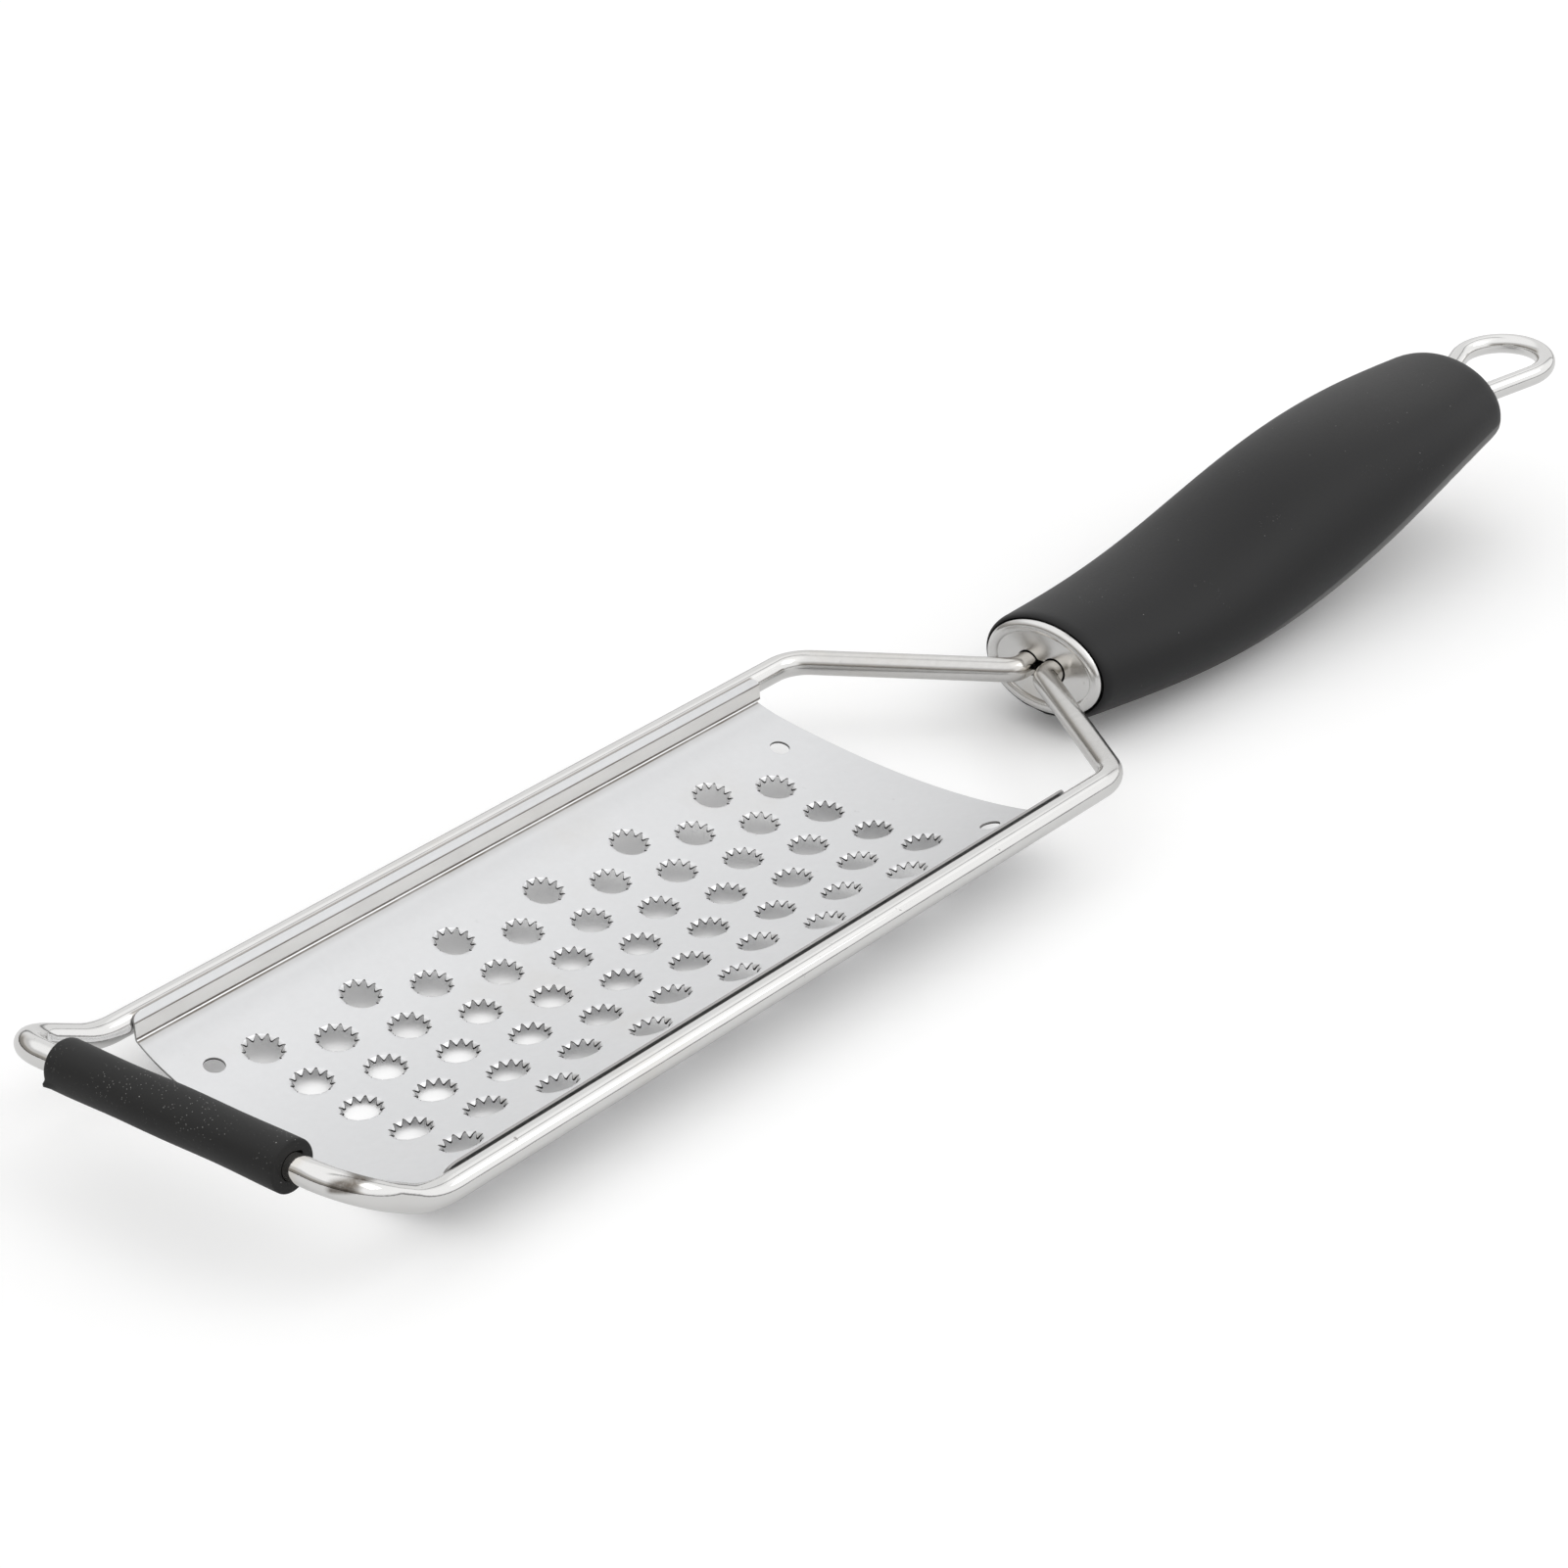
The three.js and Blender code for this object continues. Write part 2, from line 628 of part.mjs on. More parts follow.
// A rubber sleeve: rounded lips round both caps, a mouth for each skirt, and a bore of even wall for the core.
function grip() {
  const outerSteps = 15;
  const innerSteps = 8;
  const mouth = (x, z, width, height) => ovalRing(x, z, width / 2 + SEAT, height / 2 + SEAT);
  const frontMouth = (x) => mouth(x, ferruleZ, FERRULE_WIDTH, FERRULE_HEIGHT);
  const rearMouth = (x) => mouth(x, rearCapZ, REAR_CAP_WIDTH, REAR_CAP_HEIGHT);
  const outside = spread(gripFrontX + GRIP_FRONT_ROUND, gripRearX - GRIP_REAR_ROUND, outerSteps);
  const inside = spread(rearSkirtX - SEAT, frontSkirtX + SEAT, innerSteps);
  const frontLip = GRIP_FRONT_LIP - SEAT;
  const rearLip = GRIP_REAR_LIP - SEAT;
  const rings = [
    frontMouth(gripFrontX),
    gripRing(gripFrontX, frontLip * 0.8),
    gripRing(gripFrontX + GRIP_FRONT_ROUND * 0.3, frontLip * 0.3),
    ...outside.map((x) => gripRing(x, 0)),
    gripRing(gripRearX - GRIP_REAR_ROUND * 0.3, rearLip * 0.3),
    gripRing(gripRearX, rearLip * 0.8),
    rearMouth(gripRearX),
    rearMouth(rearSkirtX - SEAT),
    ...inside.map((x) => gripRing(x, GRIP_WALL)),
    frontMouth(frontSkirtX + SEAT),
  ];
  return loft(rings, true);
}

// The rigid body inside: a plug in each cap, and between them a core that fills the grip's bore.
function handleCore() {
  const steps = 8;
  const plugInset = CAP_SHEET + SEAT;
  const plug = (x, z, width, height) => ovalRing(x, z, width / 2 - plugInset, height / 2 - plugInset);
  const plugClear = CAP_RECESS + CHANNEL_DEPTH + CAP_SHEET + SEAT;
  const frontPlug = (x) => plug(x, ferruleZ, FERRULE_WIDTH, FERRULE_HEIGHT);
  const rearPlug = (x) => plug(x, rearCapZ, REAR_CAP_WIDTH, REAR_CAP_HEIGHT);
  const core = spread(frontSkirtX, rearSkirtX, steps);
  const rings = [
    frontPlug(ferruleX + plugClear),
    frontPlug(frontSkirtX),
    ...core.map((x) => gripRing(x, GRIP_WALL + SEAT)),
    rearPlug(rearSkirtX),
    rearPlug(rearCapX - plugClear),
  ];
  const slot = tangSlot(ferruleX, TANG_LENGTH + SEAT).translate([0, 0, ferruleZ]);
  const backwards = new THREE.Vector3(-1, 0, 0).transformDirection(loopPlace);
  const bores = [-1, 1].map((side) => {
    const start = new THREE.Vector3(0, (side * LOOP_LEG_SPACING) / 2, 0).applyMatrix4(loopPlace);
    return rod(start, backwards, LOOP_LEG_DEPTH + SEAT, LOOP_WIRE + 2 * SEAT);
  });
  return geometryOf(bores.reduce((body, bore) => body.subtract(bore), solid(loft(rings)).subtract(slot)));
}

// A wire with two legs in the core that spread behind the cap and run round the eye. The eye's arc is three corners
// of its own radius that join end to end.
function hangLoop() {
  const legY = LOOP_LEG_SPACING / 2;
  const spreadAngle = Math.asin(LOOP_EYE_RADIUS / Math.hypot(LOOP_REACH, legY)) - Math.atan2(legY, LOOP_REACH);
  const cornerTurn = (Math.PI + 2 * spreadAngle) / 3;
  const cornerReach = LOOP_EYE_RADIUS / Math.cos(cornerTurn / 2);
  const eyeCorner = (angle) => ({
    at: new THREE.Vector3(LOOP_REACH + cornerReach * Math.cos(angle), cornerReach * Math.sin(angle), 0),
    radius: LOOP_EYE_RADIUS,
  });
  const legs = withMirror([
    { at: new THREE.Vector3(-LOOP_LEG_DEPTH, legY, 0) },
    { at: new THREE.Vector3(0, legY, 0), radius: LOOP_LEG_BEND },
    eyeCorner(cornerTurn),
  ]);
  legs.splice(legs.length / 2, 0, eyeCorner(0));
  return wire(bentLine(legs), LOOP_WIRE);
}

// Finishes: polished and satin stainless steel, black rubber, and the dark plastic of the core.
const polishedSteel = new THREE.MeshStandardMaterial({ color: 0xd2d2d2, roughness: 0.16, metalness: 1 });
const satinSteel = new THREE.MeshStandardMaterial({ color: 0xd9dadc, roughness: 0.42, metalness: 1 });
const pressedSteel = new THREE.MeshStandardMaterial({ color: 0xc9c8c6, roughness: 0.34, metalness: 1 });
const softRubber = new THREE.MeshStandardMaterial({ color: 0x2b2c2d, roughness: 0.55, metalness: 0 });
const hardRubber = new THREE.MeshStandardMaterial({ color: 0x2e2e2e, roughness: 0.7, metalness: 0 });
const corePlastic = new THREE.MeshStandardMaterial({ color: 0x3a3a3a, roughness: 0.6, metalness: 0 });

function piece(name, geometry, material) {
  const mesh = new THREE.Mesh(geometry, material);
  mesh.name = name;
  return mesh;
}

const level = new THREE.Group();
level.add(piece("wire_frame", wireFrame(), polishedSteel));
level.add(piece("grater_plate", graterPlate(), satinSteel));

const sleeve = piece("foot_sleeve", footSleeve(), hardRubber);
sleeve.position.set(noseX, 0, NOSE_RISE);
level.add(sleeve);

const ferrule = piece("front_ferrule", frontFerrule(), pressedSteel);
ferrule.position.set(ferruleX, 0, ferruleZ);
level.add(ferrule);

level.add(piece("grip", grip(), softRubber));
level.add(piece("handle_core", handleCore(), corePlastic));

const cap = piece("rear_cap", rearCap(), pressedSteel);
cap.position.set(rearCapX, 0, rearCapZ);
cap.rotation.z = Math.PI;
level.add(cap);

const loop = piece("hang_loop", hangLoop(), polishedSteel);
loop.applyMatrix4(loopPlace);
level.add(loop);

// The pitch at which the level model comes to rest: the slope of the lowest edge under its middle, seen from the
// side. The lower outline is walked from nose to loop, and each next point is the one with the least slope.
function restingPitch(group) {
  const points = [];
  group.updateMatrixWorld(true);
  group.traverse((object) => {
    if (!object.isMesh) return;
    const place = object.geometry.attributes.position;
    for (let index = 0; index < place.count; index++) {
      const { x, z } = new THREE.Vector3().fromBufferAttribute(place, index).applyMatrix4(object.matrixWorld);
      points.push(new THREE.Vector2(x, z));
    }
  });
  const box = new THREE.Box3().setFromObject(group);
  const middle = (box.min.x + box.max.x) / 2;
  const slope = (from, to) => (to.y - from.y) / (to.x - from.x);
  let here = points.reduce((a, b) => (b.x < a.x || (b.x === a.x && b.y < a.y) ? b : a));
  for (;;) {
    const ahead = points.filter((point) => point.x > here.x);
    const next = ahead.reduce((a, b) => (slope(here, b) < slope(here, a) ? b : a));
    if (next.x > middle) return Math.atan(slope(here, next));
    here = next;
  }
}

level.rotation.y = restingPitch(level);

// The origin is under the middle of the grater, on the surface that it lies on.
const grater = new THREE.Group();
grater.add(level);
const extent = new THREE.Box3().setFromObject(grater, true);
const centre = extent.getCenter(new THREE.Vector3());
level.position.set(-centre.x, -centre.y, -extent.min.z);

export default grater;
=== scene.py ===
"""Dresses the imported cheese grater: bent wire, punched plate, pressed caps and rubber, on a pale table."""

import math

import bmesh
import bpy
import numpy as np
from mathutils import Matrix, Vector


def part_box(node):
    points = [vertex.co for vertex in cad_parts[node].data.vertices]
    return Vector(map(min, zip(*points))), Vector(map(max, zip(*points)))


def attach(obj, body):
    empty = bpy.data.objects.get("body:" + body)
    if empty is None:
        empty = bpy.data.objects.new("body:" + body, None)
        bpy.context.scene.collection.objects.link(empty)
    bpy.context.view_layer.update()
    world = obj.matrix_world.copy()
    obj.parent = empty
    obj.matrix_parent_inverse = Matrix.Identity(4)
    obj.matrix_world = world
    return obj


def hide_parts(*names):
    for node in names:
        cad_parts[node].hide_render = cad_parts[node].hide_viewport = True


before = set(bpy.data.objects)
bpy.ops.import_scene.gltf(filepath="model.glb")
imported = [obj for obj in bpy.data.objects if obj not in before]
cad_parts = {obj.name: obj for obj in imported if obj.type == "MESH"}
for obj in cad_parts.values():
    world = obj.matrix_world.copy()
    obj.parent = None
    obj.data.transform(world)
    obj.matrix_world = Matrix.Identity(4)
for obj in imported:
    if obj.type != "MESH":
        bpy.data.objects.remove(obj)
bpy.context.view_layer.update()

bl_info = {
    "name": "Cheese grater",
    "version": (1, 0, 0),
    "blender": (4, 5, 0),
    "location": "View3D > Sidebar > Grater",
    "description": "Builds the visible pieces of a flat hand grater round its packed solids",
    "category": "Object",
}

BODY = "root"
MM = 0.001
WIRE_FINISH = "polished steel wire"

# How finely the pieces are meshed.
WIRE_SIDES = 36
BEND_STEP = math.radians(3)
OVAL_SIDES = 112
CELL_SIDE_STEPS = 12
RING_STEPS = 4
TOOTH_STEPS = 5
FACE_TURNS = 192
FACE_STEPS = 8
MARGIN_STEPS = 8

# Width of the flat ring round each hole of the plate.
HOLE_MARGIN = 0.5 * MM


def length(name, value, description):
    """A size in millimetres, kept in metres."""
    return bpy.props.FloatProperty(
        name=name, description=description, default=value * MM, unit="LENGTH", precision=5
    )


def angle(name, value, description):
    """A turn in degrees, kept in radians."""
    return bpy.props.FloatProperty(
        name=name, description=description, default=math.radians(value), subtype="ANGLE"
    )


def count(name, value, description):
    return bpy.props.IntProperty(name=name, description=description, default=value, min=1)


def share(name, value, description):
    return bpy.props.FloatProperty(name=name, description=description, default=value, subtype="FACTOR")


def colour(name, value, description):
    return bpy.props.FloatVectorProperty(
        name=name, description=description, default=value, size=3, subtype="COLOR", min=0, max=1
    )


class FrameSizes(bpy.types.PropertyGroup):
    """Sizes of the bent wire and of the rubber foot on its nose bar."""

    wire: length("Wire", 4, "Diameter of the frame's wire")
    rail_spacing: length("Rail spacing", 65.4, "Between the middles of the two rails")
    rail_length: length("Rail length", 145.6, "From the arms' bend to the turned-up nose")
    arm_run: length("Arm run", 21.2, "From the rails' ends back to the handle, along the grater")
    tang_gap: length("Tang gap", 1.2, "Between the two wires where they enter the handle")
    tang_shift: length("Tang shift", 0.45, "How far both tangs are sprung towards +Y")
    tang_drop: length("Tang drop", 1, "How far the tangs lie below the rails")
    tang_length: length("Tang length", 62, "How deep the wires go into the handle")
    nose_run: length("Nose run", 13.7, "Length of the turned-up nose")
    nose_rise: length("Nose rise", 7.4, "Height of the nose bar over the rails")
    rack_ahead: length("Nose rack, +Y end", 1.2, "How far the bar's +Y end is sprung forward")
    rack_back: length("Nose rack, -Y end", 0.8, "How far the bar's -Y end is sprung back")
    rack_lift: length("Nose lift, -Y end", 0.6, "How far the bar's -Y end is sprung up")
    arm_bend: length("Arm bend", 7.2, "Radius of the bends from rail to arm")
    tang_bend: length("Tang bend", 3, "Radius of the bends from arm to tang")
    nose_bend: length("Nose bend", 15, "Radius of the bends that turn the nose up")
    corner: length("Corner", 7.5, "Radius of the nose bar's corners")
    sleeve_length: length("Sleeve length", 43.2, "Length of the rubber foot")
    sleeve_shift: length("Sleeve shift", -0.7, "How far the foot sits off the bar's middle, towards +Y")
    sleeve_diameter: length("Sleeve diameter", 7.5, "Outside diameter of the rubber foot")
    sleeve_edge: length("Sleeve edge", 0.35, "Radius that the foot's cut edges are worn to")


class PlateSizes(bpy.types.PropertyGroup):
    """Sizes of the arched plate, its holes and its teeth."""

    sheet: length("Sheet", 0.38, "Thickness of the sheet")
    arch_radius: length("Arch radius", 85.71, "Radius of the plate's arch, on its upper face")
    arch_depth: length("Arch depth", 7.915, "From the rails' middle down to the middle of the arch")
    edge_lift: length("Edge lift", 0.45, "How far the arch's edges are drawn up beside the folds")
    edge_width: length("Edge width", 5.5, "Width of the drawn-up edges")
    wrap: length("Wrap", 2.48, "From the rail's middle to the upper face of the wall")
    fold: length("Fold", 0.15, "Radius of the fold between arch and wall")
    wall_top: length("Wall top", 0.55, "Height of the crease between wall and lip over the rail's middle")
    crease: length("Crease", 0.4, "Radius of the crease between wall and lip")
    lip: length("Lip", 1.35, "Width of the lip")
    lip_lean: angle("Lip lean", 26, "How far the lip leans over its rail")
    lip_corner: length("Lip corner", 1.6, "How far the lip's corners are rounded off")
    nose_gap: length("Nose gap", 5, "From the turned-up nose to the plate")
    arm_gap: length("Arm gap", 10, "From the arms' bend to the plate")
    front_bow: length("Front bow", 1.2, "How far the front edge bows forward in its middle")
    rear_bow: length("Rear bow", 3.5, "How far the rear edge bows back in its middle")
    rear_relief: length("Rear relief", 0.9, "How far the arch is cut back beside its rear corners")
    row_pitch: length("Row pitch", 9.36, "Between two rows of holes")
    hole_spacing: length("Hole spacing", 9.8, "Between two holes of a row")
    rows: count("Rows", 12, "Rows of holes")
    holes: count("Holes", 5, "Holes of a full row; every other row has one fewer")
    teeth: count("Teeth", 12, "Teeth round a hole")
    notch_circle: length("Notch circle", 3.27, "Radius at which the notches between the teeth start")
    tooth_bend: length("Tooth bend", 0.5, "Radius that the teeth are bent round, on their upper face")
    tooth_turn: angle("Tooth turn", 48, "How far the teeth are bent down")
    tooth_length: length("Tooth length", 1.15, "From a notch to the tip of a tooth, along the sheet")
    tooth_round: share("Tooth roundness", 0.8, "Below 1 the teeth are rounder than the notches")
    tooth_edge: length("Tooth edge", 0.22, "Thickness of the teeth and of the edge between them")
    crown_turn: angle("Crown turn", -8, "How far the crowns are turned from the grater's length")
    corner_hole: length("Corner hole", 3.2, "Diameter of the small plain holes")
    front_inset: length("Front hole inset", 5.7, "From the plate's front to the small hole")
    rear_inset: length("Rear hole inset", 5, "From the plate's rear to the small holes")
    corner_offset: length("Corner hole offset", 21.3, "From the plate's middle line to the small holes")


class HandleSizes(bpy.types.PropertyGroup):
    """Sizes of the pressed caps, the grip and the hanging loop."""

    cap_sheet: length("Cap sheet", 0.6, "Thickness of the pressed caps")
    cap_depth: length("Cap depth", 6, "Length of the caps' skirts")
    bead: length("Bead", 2.2, "Width of the bead round the front cap's face")
    rear_bead: length("Rear bead", 1.5, "Width of the bead round the rear cap's face")
    recess: length("Recess", 0.65, "How deep the face lies behind the bead")
    ferrule_width: length("Ferrule width", 22.8, "Width of the front cap")
    ferrule_height: length("Ferrule height", 15.8, "Height of the front cap")
    standoff: length("Standoff", 2.4, "From the wires' bend to the front cap")
    slot_play: length("Slot play", 0.22, "Gap between the wires and the slot")
    rear_width: length("Rear cap width", 22.4, "Width of the rear cap")
    rear_height: length("Rear cap height", 16.2, "Height of the rear cap")
    rise: length("Rise", 6.8, "Height of the rear cap over the front one")
    grip_length: length("Grip length", 116.6, "Between the faces of the two caps")
    front_lip: length("Front lip", 0.9, "How far the rubber stands round the front cap")
    rear_lip: length("Rear lip", 1.3, "How far the rubber stands round the rear cap")
    grip_wall: length("Grip wall", 3.2, "Thickness of the rubber")
    front_round: length("Front round", 1.8, "Length of the rounded front end")
    rear_round: length("Rear round", 3, "Length of the rounded rear end")
    grip_play: length("Grip play", 0.25, "Gap between the rubber and the caps")
    crease_slope: share("Crease slope", 0.2, "How sharply the rubber turns under at its lower crease")
    loop_wire: length("Loop wire", 3.5, "Diameter of the loop's wire")
    leg_spacing: length("Leg spacing", 5.2, "Between the loop's legs")
    leg_depth: length("Leg depth", 18, "How deep the legs go into the handle")
    loop_reach: length("Loop reach", 18.05, "From the rear cap to the middle of the eye")
    eye_radius: length("Eye radius", 7.85, "Radius of the eye, to the wire's middle")
    leg_bend: length("Leg bend", 6, "Radius of the legs' bends at the cap")
    loop_tilt: angle("Loop tilt", 4, "How far the loop points up")


class FinishColours(bpy.types.PropertyGroup):
    """Colours of the finishes."""

    polished: colour("Polished steel", (0.79, 0.785, 0.775), "Frame and loop")
    dull: colour("Dull steel", (0.60, 0.59, 0.575), "Arms of the frame, beside the handle")
    satin: colour("Satin steel", (0.83, 0.835, 0.845), "Plate")
    # The walls' colour is a painted reflection: brighter and warmer than the sheet.
    reflected: colour("Reflected steel", (0.97, 0.955, 0.925), "Walls of the plate, rubbed bright")
    pressed: colour("Pressed steel", (0.75, 0.745, 0.735), "Caps")
    cut: colour("Cut edge", (0.42, 0.415, 0.41), "Sheared edges of the plate")
    # The tips' colour is a painted shade on the cut edges, deepest below the arch.
    tip: colour("Tooth tip", (0.045, 0.043, 0.042), "Sheared edges at the tips of the teeth")
    stain: colour("Stain", (0.62, 0.55, 0.44), "Dried film on the steel")
    # The specks' colour also paints shade: on the rails beside the lips, and at and beside the plate's folds.
    marks_and_shade: colour("Specks", (0.16, 0.14, 0.12), "Small dark marks on the steel")
    grip: colour("Grip rubber", (0.0092, 0.0092, 0.0098), "Grip")
    sleeve: colour("Sleeve rubber", (0.0135, 0.0135, 0.0135), "Foot")
    # The dust's colour is also the colour of the painted sheen and the painted reflection on the rubber.
    dust_and_sheen: colour("Dust", (0.72, 0.71, 0.69), "Dust on the rubber")
    core: colour("Core plastic", (0.05, 0.05, 0.05), "Moulding inside the grip")


class StageSizes(bpy.types.PropertyGroup):
    """Camera, table and light."""

    azimuth: angle("Azimuth", -47.7799, "Direction that the camera looks from")
    elevation: angle("Elevation", 27.9479, "Height that the camera looks from")
    roll: angle("Roll", -2.4171, "Turn of the camera about its own axis")
    lens: bpy.props.FloatProperty(
        name="Lens", description="Focal length", default=95.51, unit="CAMERA"
    )
    place: bpy.props.FloatVectorProperty(
        name="Place",
        description="Where the camera stands, from the rails' rear end",
        default=(-0.44508, -0.36890, 0.29587),
        subtype="XYZ",
        unit="LENGTH",
    )
    table: length("Table", 9000, "Half width of the table")
    table_colour: colour("Table colour", (0.96, 0.96, 0.96), "Pale table, as it is seen")
    table_bounce: colour("Table bounce", (0.68, 0.68, 0.68), "Pale table, as it lights the grater")
    table_lift: share("Table lift", 0.08, "How far the table is lifted to white where it is seen")


class Sizes:
    """All settings of a scene, and the places that several pieces share."""

    def __init__(self, scene):
        self.wire = scene.grater_frame
        self.plate = scene.grater_plate
        self.handle = scene.grater_handle
        self.colours = scene.grater_colours
        self.stage = scene.grater_stage
        self.wire_radius = self.wire.wire / 2
        self.rail_y = self.wire.rail_spacing / 2
        self.tang_y = self.wire_radius + self.wire.tang_gap / 2
        self.nose_x = -self.wire.rail_length - self.wire.nose_run
        self.plate_front = self.plate.nose_gap - self.wire.rail_length
        self.plate_rear = -self.plate.arm_gap
        self.ferrule_x = self.wire.arm_run + self.handle.standoff
        self.ferrule_z = -self.wire.tang_drop
        self.rear_x = self.ferrule_x + self.handle.grip_length
        self.rear_z = self.ferrule_z + self.handle.rise

    def resting(self):
        """The move from the level grater to how it lies in the frame, from the middles of two nodes."""
        def middle(node):
            low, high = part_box(node)
            return Vector(((low.x + high.x) / 2, 0, (low.z + high.z) / 2))

        level_foot = Vector((self.nose_x, 0, self.wire.nose_rise))
        level_cap = Vector((self.ferrule_x + self.handle.cap_depth / 2, 0, self.ferrule_z))
        foot = middle("foot_sleeve")
        lying = middle("front_ferrule") - foot
        level = level_cap - level_foot
        pitch = math.atan2(-lying.z, lying.x) - math.atan2(-level.z, level.x)
        turn = Matrix.Rotation(pitch, 4, "Y")
        return Matrix.Translation(foot - turn @ level_foot) @ turn

    def nose_corners(self):
        """The corners of the nose bar, +Y end first, sprung a little out of square."""
        wire = self.wire
        far = Vector((self.nose_x - wire.rack_ahead, self.rail_y, wire.nose_rise))
        near = Vector((self.nose_x + wire.rack_back, -self.rail_y, wire.nose_rise + wire.rack_lift))
        return far, near


class Skin:
    """The points and faces of one piece while it is laid out."""

    def __init__(self):
        self.points = []
        self.faces = []
        self.cut_from = None

    def row(self, points):
        """Adds points and gives their numbers."""
        start = len(self.points)
        self.points.extend(Vector(point) for point in points)
        return list(range(start, len(self.points)))

    def strip(self, first, second):
        """Faces between two closed rows of equal count."""
        for here in range(len(first)):
            after = (here + 1) % len(first)
            self.faces.append((first[here], first[after], second[after], second[here]))

    def loft(self, rings, closes_on_itself):
        """A skin over rings, with flat ends or closed on itself."""
        rows = [self.row(ring) for ring in rings]
        for first, second in zip(rows, rows[1:]):
            self.strip(first, second)
        if closes_on_itself:
            self.strip(rows[-1], rows[0])
        else:
            self.faces.append(tuple(reversed(rows[0])))
            self.faces.append(tuple(rows[-1]))

    def mesh(self, name):
        mesh = bpy.data.meshes.new(name)
        mesh.from_pydata(self.points, [], self.faces)
        work = bmesh.new()
        work.from_mesh(mesh)
        bmesh.ops.recalc_face_normals(work, faces=work.faces)
        work.to_mesh(mesh)
        work.free()
        if self.cut_from is not None:
            for polygon in mesh.polygons[self.cut_from:]:
                polygon.material_index = 1
        return mesh


def lofted(name, rings, closes_on_itself=False):
    """The mesh of one skin over rings."""
    skin = Skin()
    skin.loft(rings, closes_on_itself)
    return skin.mesh(name)


def spaced(start, end, steps):
    """Places from start to end, in equal steps."""
    return [start + (end - start) * step / steps for step in range(steps + 1)]


def full_turn(sides):
    """The angles of so many even sides."""
    return [2 * math.pi * side / sides for side in range(sides)]


def quarter(steps):
    """The sine and cosine of a quarter turn, in equal steps."""
    return [(math.sin(t), math.cos(t)) for t in spaced(0, math.pi / 2, steps)]


def add_object(name, data):
    made = bpy.data.objects.new(name, data)
    bpy.context.scene.collection.objects.link(made)
    return made


def place_piece(sizes, name, mesh, node, finish, crease=math.radians(40)):
    """Lays a finished mesh in the frame as the grater lies there, in place of its node."""
    mesh.transform(sizes.resting())
    mesh.shade_smooth()
    mesh.set_sharp_from_angle(angle=crease)
    mesh.materials.append(finish)
    piece = add_object(name, mesh)
    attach(piece, BODY)
    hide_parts(node)
    return piece


def bent_line(corners):
    """The middle line of a bent wire: straight runs, and an arc at each corner between them."""
    stations = []
    for index, (at, radius) in enumerate(corners):
        before = corners[index - 1][0] if index else None
        after = corners[index + 1][0] if index + 1 < len(corners) else None
        into = (at - before).normalized() if before else None
        out = (after - at).normalized() if after else None
        if into is None or out is None:
            stations.append((at, into or out))
            continue
        turn = into.angle(out)
        axis = into.cross(out).normalized()
        start = at - into * radius * math.tan(turn / 2)
        centre = start + axis.cross(into) * radius
        steps = math.ceil(turn / BEND_STEP)
        for step in range(steps + 1):
            bend = Matrix.Rotation(turn * step / steps, 3, axis)
            stations.append((centre + bend @ (start - centre), bend @ into))
    shortest = 1e-6
    kept = stations[:1]
    for station in stations[1:]:
        if (station[0] - kept[-1][0]).length > shortest:
            kept.append(station)
    return kept


def wire_rings(stations, radius):
    """Rings round a middle line, carried round the bends without twist."""
    outward = Vector((0, 0, 1))
    previous = stations[0][1]
    turns = full_turn(WIRE_SIDES)
    rings = []
    for point, along in stations:
        outward = previous.rotation_difference(along) @ outward
        outward = (outward - along * outward.dot(along)).normalized()
        previous = along
        side = along.cross(outward)
        rings.append([point + (outward * math.cos(t) + side * math.sin(t)) * radius for t in turns])
    return rings


def with_mirror(corners):
    """Corners on the +Y side, followed by their mirror image."""
    return corners + [(Vector((at.x, -at.y, at.z)), radius) for at, radius in reversed(corners)]


def wire_frame_mesh(sizes):
    """One rod: tang, arm, rail and turned-up nose on each side, joined by the nose bar."""
    wire = sizes.wire

    def side(sign, nose_corner):
        tang_y = sizes.tang_y + sign * wire.tang_shift
        arm_slope = wire.arm_run / (sizes.rail_y - sizes.tang_y)
        tang_x = wire.arm_run - sign * wire.tang_shift * arm_slope
        return [
            (Vector((sizes.ferrule_x + wire.tang_length, sign * tang_y, sizes.ferrule_z)), 0),
            (Vector((tang_x, sign * tang_y, sizes.ferrule_z)), wire.tang_bend),
            (Vector((0, sign * sizes.rail_y, 0)), wire.arm_bend),
            (Vector((-wire.rail_length, sign * sizes.rail_y, 0)), wire.nose_bend),
            (nose_corner, wire.corner),
        ]

    far, near = sizes.nose_corners()
    corners = side(1, far) + side(-1, near)[::-1]
    return lofted("wire_frame", wire_rings(bent_line(corners), sizes.wire_radius))


